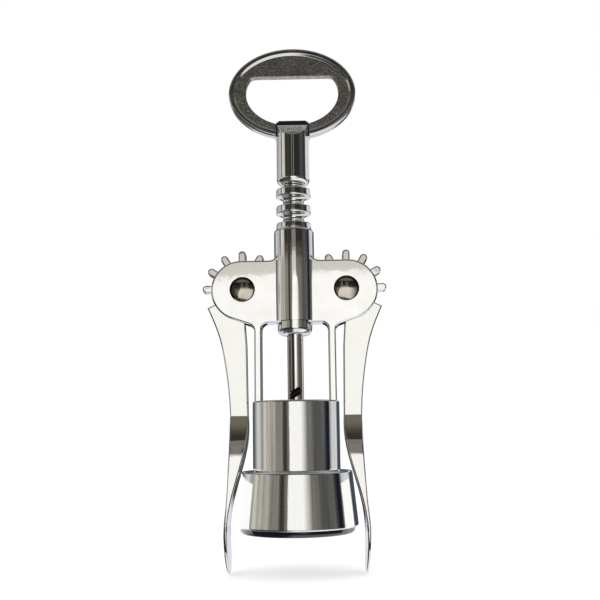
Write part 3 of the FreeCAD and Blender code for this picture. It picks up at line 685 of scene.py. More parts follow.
class CORKSCREW_OT_bell(Operator):
    """Turn the stepped bell"""

    bl_idname = "corkscrew.make_bell"
    bl_label = "Bell"

    def execute(self, context):
        s = context.scene.corkscrew.bell
        low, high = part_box("bell")
        throat = s.upper_radius - s.wall
        skirt_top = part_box("bottle_ring")[1].z + s.headroom
        skirt_radius = s.shoulder_radius + bell_slope(s) * (s.step_height - skirt_top) - s.wall
        bm = turned([
            (s.hole_radius, high.z), (s.upper_radius, high.z), (s.upper_radius, s.step_height),
            (s.shoulder_radius, s.step_height), (high.x, low.z), (high.x - s.wall, low.z),
            (skirt_radius, skirt_top), (throat, skirt_top), (throat, high.z - s.roof),
            (s.hole_radius, high.z - s.roof),
        ], s.segments)
        round_ring(bm, s.upper_radius, high.z, s.edge_round)
        round_ring(bm, s.shoulder_radius, s.step_height, s.edge_round)
        round_ring(bm, s.upper_radius, s.step_height, s.step_round)
        round_ring(bm, high.x, low.z, s.edge_round)
        round_ring(bm, high.x - s.wall, low.z, s.edge_round / 3)
        round_ring(bm, s.hole_radius, high.z, s.edge_round / 2)
        material = material_named("bell")
        finish_piece(bm, "bell_shell", "frame", ["bell"], [material], 40.0)
        return {"FINISHED"}


class CORKSCREW_OT_bottle_ring(Operator):
    """Turn the dark ring in the bell's mouth"""

    bl_idname = "corkscrew.make_bottle_ring"
    bl_label = "Bottle ring"

    def execute(self, context):
        s = context.scene.corkscrew.bell
        low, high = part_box("bottle_ring")
        bell_low, bell_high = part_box("bell")
        mouth = bell_high.x - s.wall - s.fit
        top = mouth - bell_slope(s) * (high.z - bell_low.z)
        throat = s.upper_radius - s.wall
        bm = turned([
            (s.bottle_radius, low.z), (s.lip_radius, low.z), (s.lip_radius, bell_low.z),
            (mouth, bell_low.z), (top, high.z), (throat, high.z), (throat, s.bottle_seat),
            (s.bottle_radius, s.bottle_seat),
        ], s.segments)
        round_ring(bm, s.lip_radius, low.z, s.lip_round, 5)
        round_ring(bm, s.bottle_radius, low.z, s.lip_round / 2)
        round_ring(bm, throat, s.bottle_seat, s.lip_round / 3)
        material = material_named("plastic")
        finish_piece(bm, "mouth_ring", "frame", ["bottle_ring"], [material])
        return {"FINISHED"}


class CORKSCREW_OT_pins(Operator):
    """Turn the two pivot pins with their domed ends"""

    bl_idname = "corkscrew.make_pins"
    bl_label = "Pivot pins"

    def execute(self, context):
        s = context.scene.corkscrew.pin
        low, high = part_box("right_pivot_pin")
        radius = (high.x - low.x) / 2
        sphere = (radius ** 2 + s.dome_height ** 2) / (2 * s.dome_height)
        top = high.y - s.rim_depth + s.dome_height
        dome = []
        for step in range(s.dome_steps + 1):
            r = (radius - s.edge_round) * step / s.dome_steps
            dome.append((r, top - sphere + math.sqrt(sphere ** 2 - r ** 2)))
        front = dome + [(radius, dome[-1][1] - s.edge_round)]
        outline = front + [(r, -h) for r, h in reversed(front)]
        for side, name in ((1, "right_pivot_pin"), (-1, "left_pivot_pin")):
            bm = turned(outline, s.segments, Y_AXIS, (side * PIVOT.x, 0, PIVOT.z))
            finish_piece(
                bm, name.replace("_pivot", "_turned"), "frame", [name],
                [material_named("pin")],
            )
        return {"FINISHED"}


class CORKSCREW_OT_rack(Operator):
    """Turn the rod with ring-shaped teeth"""

    bl_idname = "corkscrew.make_rack"
    bl_label = "Rack sleeve"

    def execute(self, context):
        s = context.scene.corkscrew.rack
        low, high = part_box("rack_sleeve")
        radius = high.x
        outline = [(radius, low.z)]
        crests = []
        for index in range(-s.grooves_below, s.grooves_above + 1):
            middle = PIVOT.z + s.first_rise + index * s.pitch
            edges = (middle - s.groove_radius, middle + s.groove_radius)
            crests += edges
            outline.append((radius, edges[0]))
            for step in range(s.groove_steps + 1):
                turn = math.pi * (step / s.groove_steps - 0.5)
                height = middle + s.groove_radius * math.sin(turn)
                outline.append((s.groove_centre - s.groove_radius * math.cos(turn), height))
            outline.append((radius, edges[1]))
        outline = [(r, h) for r, h in outline if h < high.z]
        outline += [(outline[-1][0], high.z), (s.bore_radius, high.z), (s.bore_radius, low.z)]
        bm = turned(outline, s.segments)
        for crest in crests:
            if crest < high.z:
                round_ring(bm, radius, crest, s.edge_round, 3)
        material = material_named("chrome")
        finish_piece(bm, "ringed_rod", "rack", ["rack_sleeve"], [material])
        return {"FINISHED"}


class CORKSCREW_OT_collar(Operator):
    """Turn the rounded collar under the barrel"""

    bl_idname = "corkscrew.make_collar"
    bl_label = "End collar"

    def execute(self, context):
        s = context.scene.corkscrew.rack
        bore = context.scene.corkscrew.worm.shank_radius
        low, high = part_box("end_collar")
        dome = quarter((high.x, low.z + s.dome_height), (s.face_radius, low.z))
        bm = turned([(bore, high.z), (high.x, high.z)] + dome + [(bore, low.z)], s.segments)
        material = material_named("chrome")
        finish_piece(bm, "rounded_collar", "spindle", ["end_collar"], [material])
        return {"FINISHED"}


class CORKSCREW_OT_neck(Operator):
    """Make the round neck with its slanted facets and the tang"""

    bl_idname = "corkscrew.make_neck"
    bl_label = "Handle neck"

    def execute(self, context):
        s = context.scene.corkscrew.neck
        rack = context.scene.corkscrew.rack
        low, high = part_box("handle_neck")
        tang_bottom = high.z - s.tang_height
        neck_bottom = PIVOT.z + rack.first_rise + rack.pitch * rack.grooves_above
        shoulder_top = neck_bottom + s.shoulder_height
        shoulder = quarter((s.radius, shoulder_top), (s.groove_radius, neck_bottom))
        outline = [(0, high.z), (s.radius, high.z)] + shoulder
        outline += [(s.core_radius, neck_bottom), (s.core_radius, low.z), (0, low.z)]
        bm = turned(outline, s.segments)
        for side in (-1, 1):
            normal = Vector((0, side * s.bevel_height, s.radius - s.tang_thickness / 2))
            bmesh.ops.bisect_plane(
                bm, geom=bm.verts[:] + bm.edges[:] + bm.faces[:], dist=TOUCH,
                plane_co=(0, side * s.radius, tang_bottom), plane_no=normal, clear_outer=True,
            )
            bmesh.ops.edgeloop_fill(bm, edges=[e for e in bm.edges if e.is_boundary])
        round_sharp(bm, s.edge_round, 35.0)
        tang = bmesh.ops.create_cube(bm, size=1.0)["verts"]
        size = Vector((s.tang_width, s.tang_thickness, s.tang_height))
        bmesh.ops.scale(bm, vec=size, verts=tang)
        bmesh.ops.translate(bm, vec=(0, 0, tang_bottom + s.tang_height / 2), verts=tang)
        top = [v for v in tang if v.co.z > tang_bottom + TOUCH]
        bmesh.ops.scale(bm, vec=(1, s.tang_taper, 1), verts=top)
        own = set(tang)
        corners = [
            e for e in bm.edges
            if set(e.verts) <= own and all(v.co.z > high.z - TOUCH for v in e.verts)
            and abs(e.verts[0].co.x - e.verts[1].co.x) < TOUCH
        ]
        made = round_edges(bm, corners, s.tang_chamfer, 1)
        own = {v for v in own if v.is_valid} | set(made["verts"])
        round_edges(bm, [e for e in bm.edges if not own.isdisjoint(e.verts)], s.edge_round, 3)
        bmesh.ops.recalc_face_normals(bm, faces=bm.faces)
        material = material_named("chrome")
        finish_piece(bm, "neck_and_tang", "spindle", ["handle_neck"], [material])
        return {"FINISHED"}


def head_rings(s, half_thickness):
    """Rings over the front half: inset of the outer oval or growth of the opening, and depth."""
    web = s.web_thickness / 2
    rings = [(0.0, None, 0.0)]
    for step in range(s.rim_steps + 1):
        turn = math.pi / 2 * step / s.rim_steps
        depth = half_thickness - s.rim_round * (1 - math.sin(turn))
        rings.append((s.rim_round * (1 - math.cos(turn)), None, depth))
    for step in range(s.rim_steps + 1):
        share = step / s.rim_steps
        fall = (half_thickness - web) * (1 - math.cos(math.pi * share)) / 2
        inset = s.rim_flat + (s.rim_width - s.rim_flat) * share
        rings.append((inset, None, half_thickness - fall))
    for step in range(EDGE_STEPS + 1):
        turn = math.pi / 2 * step / EDGE_STEPS
        depth = web - s.edge_round * (1 - math.cos(turn))
        rings.append((None, s.edge_round * (1 - math.sin(turn)), depth))
    rings.append((None, 0.0, 0.0))
    return rings


def opening_point(s, turn, growth):
    """The opening's edge in a direction from its middle, cut off straight at the lip."""
    x = (s.opening_width / 2 + growth) * math.cos(turn)
    z = (s.opening_height / 2 + growth) * math.sin(turn)
    over = max(z / (s.lip_height + growth), 0.0)
    share = (1 + over ** s.corner_power) ** (-1 / s.corner_power)
    return x * share, z * share


class CORKSCREW_OT_head(Operator):
    """Make the oval handle with the cap lifter's lip"""

    bl_idname = "corkscrew.make_head"
    bl_label = "Opener head"

    def execute(self, context):
        s = context.scene.corkscrew.head
        low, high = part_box("opener_head")
        half_width = (high.x - low.x) / 2
        half_thickness = (high.y - low.y) / 2
        # the tang hides the oval's lowest point
        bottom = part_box("handle_neck")[1].z - context.scene.corkscrew.neck.tang_height
        half_height = (high.z - bottom) / 2
        middle = high.z - half_height
        opening_middle = middle + s.opening_rise
        bm = bmesh.new()
        ring = bmesh.ops.create_circle(bm, segments=s.segments, radius=1.0)["verts"]
        turns = {vert: math.atan2(vert.co.y, vert.co.x) for vert in ring}
        web_from = 2 * s.rim_steps + 2
        for index, (inset, growth, depth) in enumerate(head_rings(s, half_thickness)):
            if index:
                edges = [e for e in bm.edges if e.verts[0] in turns and e.verts[1] in turns]
                made = bmesh.ops.extrude_edge_only(bm, edges=edges)["geom"]
                for face in only(bmesh.types.BMFace, made):
                    face.material_index = 1 if index > web_from else 0
                turns = {
                    vert: next(t for old, t in turns.items() if (old.co - vert.co).length < TOUCH)
                    for vert in only(bmesh.types.BMVert, made)
                }
            for vert, turn in turns.items():
                if growth is None:
                    x = (half_width - inset) * math.cos(turn)
                    z = middle + (half_height - inset) * math.sin(turn)
                else:
                    x, z = opening_point(s, turn, growth)
                    z += opening_middle
                vert.co = (x, -depth, z)
        half = bm.verts[:] + bm.edges[:] + bm.faces[:]
        bmesh.ops.mirror(bm, geom=half, axis="Y", merge_dist=TOUCH)
        bmesh.ops.recalc_face_normals(bm, faces=bm.faces)
        materials = [material_named("head_rim"), material_named("head_web")]
        finish_piece(bm, "oval_handle", "spindle", ["opener_head"], materials, 50.0)
        return {"FINISHED"}


def arm_inner_x(s, drop):
    """The arm's inner edge from the axis, at a height below the pivot."""
    bend = (drop - s.bend_drop) / (s.full_drop - s.bend_drop)
    bend = min(max(bend, 0.0), 1.0)
    lean = max(1 - drop / s.bend_drop, 0.0) * s.lean
    return s.inner_x + lean + (s.paddle_x - s.inner_x) * (1 - math.cos(math.pi * bend)) / 2


def paddle_curl(s, drop):
    """How far the tip turns back in."""
    share = max((drop - s.full_drop) / (s.tip_drop - s.full_drop), 0.0)
    return s.tip_curl * share * share


def arm_outer(s):
    """The arm's outer edge from the axis, as a function of the height below the pivot."""
    shoulder = (
        -s.shoulder_radius * math.sin(s.shoulder_angle),
        PIVOT.x + s.shoulder_radius * math.cos(s.shoulder_angle),
    )
    widths = (
        (s.arm_top_drop, s.arm_top_width), (s.flare_drop, s.waist_width),
        (s.root_drop, s.paddle_root), (s.full_drop, s.paddle),
    )
    points = [shoulder] + [(drop, arm_inner_x(s, drop) + width) for drop, width in widths]
    points.append((s.tip_drop, arm_inner_x(s, s.tip_drop) - s.tip_curl + s.paddle_tip))
    return shoulder[0], smooth_through(points)


def paddle_depth(s, drop):
    """Half of the lever's depth at a height below the pivot."""
    half = s.thickness / 2
    widening = s.half_depth - half
    radius = (widening ** 2 + s.flare_height ** 2) / (2 * widening)
    left = s.flare_drop + s.flare_height - drop
    if left > 0:
        return s.half_depth - radius + math.sqrt(radius ** 2 - left ** 2)
    over = max(drop - s.round_drop, 0.0) / (s.tip_drop - s.round_drop)
    return s.half_depth * math.sqrt(max(1 - over ** 2, 0.0))


def gear_outline(s, first_rise, pitch):
    """The gear's edge from under the pivot, over the teeth, to the shoulder."""
    points = []

    def add_point(radius, turn):
        points.append((PIVOT.x + radius * math.cos(turn), PIVOT.z + radius * math.sin(turn)))

    def add_root(turn, end):
        """Follows the root circle from one angle to another."""
        while turn - ROOT_MARGIN > end:
            turn -= ROOT_STEP
            add_point(s.root_radius, turn)
        add_point(s.root_radius, end)

    half = s.tooth_width / 2
    root_half = math.asin(half / s.root_radius)
    shank = s.tip_radius - half
    turn = GEAR_START
    add_point(s.root_radius, turn)
    for index in range(s.teeth):
        tooth = math.pi - (first_rise + index * pitch) / s.pitch_radius
        add_root(turn, tooth + root_half)
        for step in range(CURVE_STEPS + 1):
            swing = math.pi / 2 - math.pi * step / CURVE_STEPS
            across, out = half * math.sin(swing), shank + half * math.cos(swing)
            add_point(math.hypot(across, out), tooth + math.atan2(across, out))
        turn = tooth - root_half
        add_point(s.root_radius, turn)
    add_root(turn, s.shoulder_angle)
    return points


def lever_section(s, drop, outer_x):
    """The lever from above: inner and outer side, half depth, crown and rounding of the corners."""
    inner = arm_inner_x(s, drop) - paddle_curl(s, drop)
    outer = outer_x(drop)
    half = paddle_depth(s, drop)
    crown = s.crown * min((drop - s.flare_drop) / s.flare_height, 1.0) * half / s.half_depth
    # the thin end leaves less room for the rounding
    corner = min(s.edge_round, 0.4 * (outer - inner), 0.9 * half)
    return inner, outer, half, crown, corner


def lever_drops(s):
    """Heights below the pivot at which the lever's lower end has a section."""
    def spread(start, end, steps):
        return [start + (end - start) * (step + 1) / steps for step in range(steps)]

    flare_end = s.flare_drop + s.flare_height
    drops = spread(s.flare_drop, flare_end, s.flare_steps)
    drops += spread(flare_end, s.round_drop, s.blade_steps)
    # closer and closer to the tip, but not quite at it
    for turn in spread(0.0, 0.985 * math.pi / 2, s.tip_steps):
        drops.append(s.round_drop + (s.tip_drop - s.round_drop) * math.sin(turn))
    return drops


def faces_at(bm, level):
    """The faces that lie flat at a height."""
    return [f for f in bm.faces if all(abs(v.co.z - level) < TOUCH for v in f.verts)]


def lever_mesh(s, rack):
    """The right lever: a flat gear and arm, whose lower end is drawn down into the paddle."""
    start, outer_x = arm_outer(s)
    step = (s.flare_drop - start) / s.arm_steps
    drops = [start + step * index for index in range(s.arm_steps)] + [s.flare_drop]
    outline = [(outer_x(drop), PIVOT.z - drop) for drop in drops]
    outline += [(arm_inner_x(s, d), PIVOT.z - d) for d in reversed(drops) if d > s.arm_top_drop]
    outline += gear_outline(s, rack.first_rise, rack.pitch)
    bm = bmesh.new()
    plate = bm.faces.new([bm.verts.new((x, -s.thickness / 2, z)) for x, z in outline])
    made = bmesh.ops.extrude_face_region(bm, geom=[plate])["geom"]
    bmesh.ops.translate(bm, vec=(0, s.thickness, 0), verts=only(bmesh.types.BMVert, made))
    bmesh.ops.recalc_face_normals(bm, faces=bm.faces)
    level = PIVOT.z - s.flare_drop
    rims = [
        e for e in bm.edges
        if abs(e.verts[0].co.y - e.verts[1].co.y) < TOUCH
        and any(abs(v.co.z - level) > TOUCH for v in e.verts)
    ]
    round_edges(bm, rims, s.edge_round, s.round_steps, clamp_overlap=False)
    end = faces_at(bm, level)
    middle = (arm_inner_x(s, s.flare_drop) + outer_x(s.flare_drop)) / 2
    sides = [
        e for e in end[0].edges
        if e.calc_length() > s.thickness / 2 and abs(e.verts[0].co.x - middle) > s.waist_width / 4
        and abs(e.verts[0].co.x - e.verts[1].co.x) < TOUCH
    ]
    bmesh.ops.subdivide_edges(bm, edges=sides, cuts=s.cuts, use_grid_fill=False)
    end = faces_at(bm, level)
    before = lever_section(s, s.flare_drop, outer_x)
    for drop in lever_drops(s):
        after = lever_section(s, drop, outer_x)
        end = draw_down(bm, end, before, after, PIVOT.z - drop)
        before = after
    bmesh.ops.recalc_face_normals(bm, faces=bm.faces)
    return bm


def draw_down(bm, end, before, after, level):
    """Draws the end faces down from one section to the next, and returns the new end faces."""
    inner, outer, half, crown, corner = before
    new_inner, new_outer, new_half, new_crown, new_corner = after
    made = bmesh.ops.extrude_face_region(bm, geom=end)["geom"]
    bmesh.ops.delete(bm, geom=end, context="FACES")
    for vert in only(bmesh.types.BMVert, made):
        depth = abs(vert.co.y)
        straight = half - corner
        if depth > straight:
            new_depth = new_half - new_corner + (depth - straight) / corner * new_corner
        else:
            new_depth = depth / straight * (new_half - new_corner)
        if vert.co.x > (inner + outer) / 2:
            inset = outer - crown * (depth / half) ** 2 - vert.co.x
            x = new_outer - new_crown * (new_depth / new_half) ** 2 - inset / corner * new_corner
        else:
            x = new_inner + (vert.co.x - inner) / corner * new_corner
        vert.co = (x, math.copysign(new_depth, vert.co.y), level)
    return only(bmesh.types.BMFace, made)


class CORKSCREW_OT_levers(Operator):
    """Make the two wing levers"""

    bl_idname = "corkscrew.make_levers"
    bl_label = "Levers"

    def execute(self, context):
        s = context.scene.corkscrew.lever
        material = material_named("lever")
        for side, name in ((1, "right_lever"), (-1, "left_lever")):
            bm = lever_mesh(s, context.scene.corkscrew.rack)
            if side < 0:
                bmesh.ops.scale(bm, vec=(-1, 1, 1), verts=bm.verts)
                bmesh.ops.reverse_faces(bm, faces=bm.faces)
            lever = finish_piece(
                bm, name.replace("lever", "wing"), name, [name], [material]
            )
            # the bell's sides mirror the bright room, not the plain sides of the levers
            lever.visible_glossy = False
        return {"FINISHED"}


def screw_mesh(s):
    """The right-hand screw: a fin spun round its core, trimmed to a point."""
    bm = bmesh.new()
    inner = s.core_radius * s.fin_depth
    height = s.shank_bottom - s.tip
    steps = round(height / s.pitch * s.steps)
    corners = (
        (inner, -s.fin_root / 2), (s.screw_radius, -s.fin_edge / 2),
        (s.screw_radius, s.fin_edge / 2), (inner, s.fin_root / 2),
    )
    section = bm.faces.new([bm.verts.new((-r, 0, s.tip + h)) for r, h in corners])
    bmesh.ops.subdivide_edges(bm, edges=section.edges[:], cuts=2)
    bmesh.ops.spin(
        bm, geom=bm.faces[:], cent=(0, 0, 0), axis=Z_AXIS, dvec=(0, 0, height / steps),
        angle=math.tau * height / s.pitch, steps=steps,
    )
    core = bmesh.ops.create_cone(
        bm, cap_ends=True, segments=s.core_segments, radius1=s.core_radius,
        radius2=s.core_radius, depth=height,
    )["verts"]
    bmesh.ops.translate(bm, vec=(0, 0, s.tip + height / 2), verts=core)
    for vert in bm.verts:
        vert.co.z = min(max(vert.co.z, s.tip), s.shank_bottom)
        point = max((vert.co.z - s.tip) / s.point_length, s.point_share)
        flare = max(1 - (s.shank_bottom - vert.co.z) / s.flare_length, 0.0)
        limit = s.screw_radius * min(point, 1.0) + (s.shank_radius - s.screw_radius) * flare
        reach = math.hypot(vert.co.x, vert.co.y)
        if reach > limit:
            vert.co.x *= limit / reach
            vert.co.y *= limit / reach
    bmesh.ops.remove_doubles(bm, verts=bm.verts, dist=TOUCH)
    bmesh.ops.recalc_face_normals(bm, faces=bm.faces)
    return bm


def shank_mesh(s, collar_top, stub_top):
    """The plain shank with its stub, and the notch at its front where the screw's groove ends."""
    notch = s.shank_bottom + s.notch_rise
    step = 2 * (s.notch_rise + s.notch_half_height) / s.notch_rings
    outline = [(0, s.shank_bottom)]
    outline += [(s.shank_radius, s.shank_bottom + step * k) for k in range(s.notch_rings + 1)]
    outline += [(s.shank_radius, collar_top), (s.stub_radius, collar_top)]
    outline += [(s.stub_radius, stub_top), (0, stub_top)]
    bm = turned(outline, s.segments)
    hollowed = set()
    for vert in bm.verts:
        if vert.co.y < 0 and math.hypot(vert.co.x, vert.co.y) > s.shank_radius - TOUCH:
            lift = vert.co.z - notch - vert.co.x * s.pitch / (math.tau * s.shank_radius)
            across = vert.co.x / s.notch_half_width
            hollow = 1 - (lift / s.notch_half_height) ** 2 - across ** 4
            if hollow > 0:
                share = 1 - s.notch_depth * math.sqrt(hollow) / s.shank_radius
                vert.co.x *= share
                vert.co.y *= share
                hollowed.add(vert)
    # painted shade: the notch's faces get the near-black finish, which stands in for the shade deep
    # in the groove
    for face in bm.faces:
        face.material_index = 1 if hollowed.issuperset(face.verts) else 0
    return bm


class CORKSCREW_OT_worm(Operator):
    """Make the shank and the right-hand screw"""

    bl_idname = "corkscrew.make_worm"
    bl_label = "Worm"

    def execute(self, context):
        s = context.scene.corkscrew.worm
        bm = screw_mesh(s)
        shank = shank_mesh(s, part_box("end_collar")[1].z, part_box("worm")[1].z)
        joined = bpy.data.meshes.new("shank")
        shank.to_mesh(joined)
        shank.free()
        bm.from_mesh(joined)
        bpy.data.meshes.remove(joined)
        # the second finish is the painted shade of the notch
        materials = [material_named("worm"), material_named("groove")]
        finish_piece(bm, "screw_and_shank", "spindle", ["worm"], materials)
        return {"FINISHED"}


# ---- the studio ----

WHITE = (1.0, 1.0, 1.0)
COOL = (0.95, 0.97, 1.0)
CREAM = (1.0, 0.97, 0.88)
BEIGE = (1.0, 0.95, 0.86)
BROWN = (1.0, 0.93, 0.80)
DARK = (1.0, 0.98, 0.90)
NAVY = (0.62, 0.74, 1.0)
SLATE = (0.75, 0.86, 1.0)

# What stands round the object, from behind it over its left side: bearing in degrees from the
# camera's side, brightness and tint. One ring of walls is level with the object, the other is
# higher up.
LOW_WALLS = (
    (-178, 0.10, SLATE), (-147, 0.12, SLATE), (-135, 0.30, COOL), (-124, 0.66, COOL),
    (-114, 0.74, COOL), (-104, 0.42, CREAM), (-98, 0.36, CREAM), (-88, 0.78, CREAM),
    (-83, 0.42, CREAM), (-77, 0.58, BEIGE), (-69, 0.36, BEIGE), (-59, 0.46, BEIGE),
    (-52, 0.27, BROWN), (-37, 0.26, BROWN), (-32, 0.05, DARK), (-26, 0.04, DARK),
    (-21, 0.20, BROWN), (30, 0.20, BROWN), (42, 0.19, CREAM), (48, 0.09, DARK),
    (78, 0.12, WHITE), (84, 0.05, NAVY), (90, 0.015, NAVY), (97, 0.03, NAVY),
    (100, 0.35, COOL), (108, 0.74, COOL), (131, 0.78, COOL), (137, 0.10, NAVY),
    (178, 0.10, SLATE),
)
HIGH_WALLS = (
    (-180, 0.55, COOL), (-150, 0.35, COOL), (-128, 0.36, COOL), (-116, 0.50, CREAM),
    (-100, 0.62, CREAM), (-92, 0.50, CREAM), (-87, 0.10, DARK), (-83, 0.12, DARK),
    (-79, 0.72, CREAM), (-72, 0.80, CREAM), (-60, 0.56, CREAM), (-54, 0.05, DARK),
    (-46, 0.03, DARK), (-36, 0.05, DARK), (-22, 0.035, DARK), (40, 0.025, DARK),
    (50, 0.04, DARK), (60, 0.09, WHITE), (78, 0.07, NAVY), (93, 0.03, NAVY),
    (98, 0.20, COOL), (104, 0.84, COOL), (120, 0.76, COOL), (135, 0.74, COOL),
    (150, 0.90, WHITE), (180, 0.55, COOL),
)

# Degrees over the horizon between which one part of the room gives way to the next.
RINGS_AHEAD = (10.5, 12.5)
RINGS_BESIDE = (12.5, 13.5)
BEAM = (19, 21)
CORNICE = (28, 29)
CEILING = (37, 38)
BRIGHTER_CEILING = (42, 65)
GROUND = (-4.8, -5.6)
FAR_EDGE = (-5.5, -6.1)
BRIGHTER_GROUND = (-18, -24)
# Degrees of bearing, to either side, over which the border between the rings moves up.
BESIDE = (98, 104)

# Light of the room's parts, the darker first.
BEAM_LIGHT = ((0.012, 0.013, 0.015), (0.10, 0.10, 0.09))
CORNICE_LIGHT = (0.21, 0.19, 0.17)
CEILING_LIGHT = ((0.040, 0.038, 0.030), (0.17, 0.16, 0.12))
FAR_CEILING_LIGHT = (0.40, 0.43, 0.48)
GROUND_LIGHT = ((0.07, 0.07, 0.075), (0.95, 0.95, 0.98))
GROUND_EDGE_LIGHT = (0.035, 0.026, 0.024)
FAR_EDGE_LIGHT = (0.76, 0.77, 0.86)

# Light of the screen: the arch from its left to its right side, the border and the strip over it.
ARCH_LIGHT = ((1.12, 1.11, 1.09), (0.22, 0.22, 0.21))
BORDER_LIGHT = (0.70, 0.68, 0.63)
STRIP_LIGHT = (0.23, 0.22, 0.20)

# The low cards: name, and their two ends' bearing in degrees from the camera's side.
CARDS = (("left_card", -156, -82), ("right_card", 83, 112))
CARD_LIGHT = (1.18, 1.18, 1.18)


def wall_colours(tree, bearing, walls):
    """A ring of walls: a colour for each bearing."""
    ramp = add_node(tree, "ShaderNodeValToRGB", {"Fac": bearing})
    elements = ramp.color_ramp.elements
    while len(elements) > 1:
        elements.remove(elements[-1])
    for index, (degrees, brightness, tint) in enumerate(walls):
        place = (degrees + 180) / 360
        element = elements[0] if index == 0 else elements.new(place)
        element.position = place
        element.color = (*(brightness * part for part in tint), 1.0)
    return ramp.outputs["Color"]


def rising(tree, height, span):
    """From 0 to 1 over a span of degrees above the horizon."""
    low, high = (math.radians(degrees) for degrees in span)
    return remap(tree, height, low, high, 0.0, 1.0, True)


def room_walls(tree, bearing, height):
    """Two rings of walls, with clutter along them."""
    turn = remap(tree, bearing, -math.pi, math.pi, 0.0, 1.0)
    low, high = (wall_colours(tree, turn, walls) for walls in (LOW_WALLS, HIGH_WALLS))
    # the lower ring reaches further up at the sides and behind
    start, end = (math.radians(degrees) for degrees in BESIDE)
    beside = remap(tree, maths(tree, "ABSOLUTE", bearing), start, end, 0.0, 1.0)
    ahead = maths(tree, "SUBTRACT", 1.0, beside)
    ahead = maths(tree, "MULTIPLY", rising(tree, height, RINGS_AHEAD), ahead)
    beside = maths(tree, "MULTIPLY", rising(tree, height, RINGS_BESIDE), beside)
    walls = blend_colours(tree, maths(tree, "ADD", ahead, beside), low, high)
    flat = maths(tree, "MULTIPLY", height, 0.3)
    place = add_node(tree, "ShaderNodeCombineXYZ", {"X": bearing, "Y": flat}).outputs["Vector"]
    clutter = remap(tree, noise(tree, place, 14.0, 5.0, 0.75), 0.25, 0.75, 0.45, 1.55)
    inputs = {0: walls, "Scale": clutter}
    return add_node(tree, "ShaderNodeVectorMath", inputs, operation="SCALE").outputs[0]


def add_ceiling(tree, across, depth, height, room):
    """Puts a beam and a cornice over the walls, and the ceiling over those."""
    aside = remap(tree, maths(tree, "ABSOLUTE", across), 0.45, 0.75, 0.0, 1.0, True)
    room = blend_colours(
        tree, rising(tree, height, BEAM), room, blend_colours(tree, aside, *BEAM_LIGHT),
    )
    room = blend_colours(tree, rising(tree, height, CORNICE), room, CORNICE_LIGHT)
    near = blend_colours(tree, rising(tree, height, BRIGHTER_CEILING), *CEILING_LIGHT)
    far = remap(tree, depth, -0.16, -0.10, 0.0, 1.0, True)
    ceiling = blend_colours(tree, far, near, FAR_CEILING_LIGHT)
    return blend_colours(tree, rising(tree, height, CEILING), room, ceiling)


def add_ground(tree, across, depth, height, room):
    """Puts the floor under the walls: dark on the left, and with a dark edge towards them."""
    right = remap(tree, across, -0.30, -0.05, 0.0, 1.0, True)
    ground = blend_colours(tree, right, *GROUND_LIGHT)
    inner = rising(tree, height, BRIGHTER_GROUND)
    ground = blend_colours(tree, inner, GROUND_EDGE_LIGHT, ground)
    room = blend_colours(tree, rising(tree, height, GROUND), room, ground)
    away = remap(tree, depth, 0.4, 0.8, 0.0, 1.0, True)
    away = maths(tree, "MULTIPLY", away, rising(tree, height, FAR_EDGE))
    return blend_colours(tree, away, room, FAR_EDGE_LIGHT)


def make_world(scene, s):
    """White to the eye, an even light to matt surfaces, and a room to what is polished."""
    world = bpy.data.worlds.new("studio")
    world.use_nodes = True
    scene.world = world
    tree = world.node_tree
    tree.nodes.clear()
    look = add_node(tree, "ShaderNodeTexCoord").outputs["Generated"]
    split = add_node(tree, "ShaderNodeSeparateXYZ", {"Vector": look}).outputs
    towards = maths(tree, "MULTIPLY", split["Y"], -1.0)
    bearing = maths(tree, "ARCTAN2", split["X"], towards)
    height = maths(tree, "ARCSINE", split["Z"])
    room = room_walls(tree, bearing, height)
    room = add_ceiling(tree, split["X"], split["Y"], height, room)
    room = add_ground(tree, split["X"], split["Y"], height, room)
    mirrored, even, white = (
        add_node(tree, "ShaderNodeBackground", {"Color": light, "Strength": strength}).outputs[0]
        for light, strength in ((room, 1.0), ((*WHITE, 1.0), s.ambient), ((*WHITE, 1.0), 1.0))
    )
    path = add_node(tree, "ShaderNodeLightPath").outputs
    shiny = maths(tree, "MAXIMUM", path["Is Glossy Ray"], path["Is Transmission Ray"])
    lit = mix_shaders(tree, shiny, even, mirrored)
    seen = mix_shaders(tree, path["Is Camera Ray"], lit, white)
    add_node(tree, "ShaderNodeOutputWorld", {"Surface": seen})


def stage_material(name, surface, s):
    """A material of the stage, made by a function that returns its shader."""
    material = bpy.data.materials.new(name)
    material.use_nodes = True
    tree = material.node_tree
    tree.nodes.clear()
    add_node(tree, "ShaderNodeOutputMaterial", {"Surface": surface(tree, s)})
    return material


def stage_piece(bm, name, material):
    """Makes a piece of the stage of a bmesh."""
    piece = linked_object(bm, name, [material])
    return piece


def stage_plane(name, size, material):
    """A square for the stage, still lying flat at the origin."""
    bm = bmesh.new()
    bmesh.ops.create_grid(bm, x_segments=1, y_segments=1, size=size / 2)
    return stage_piece(bm, name, material)


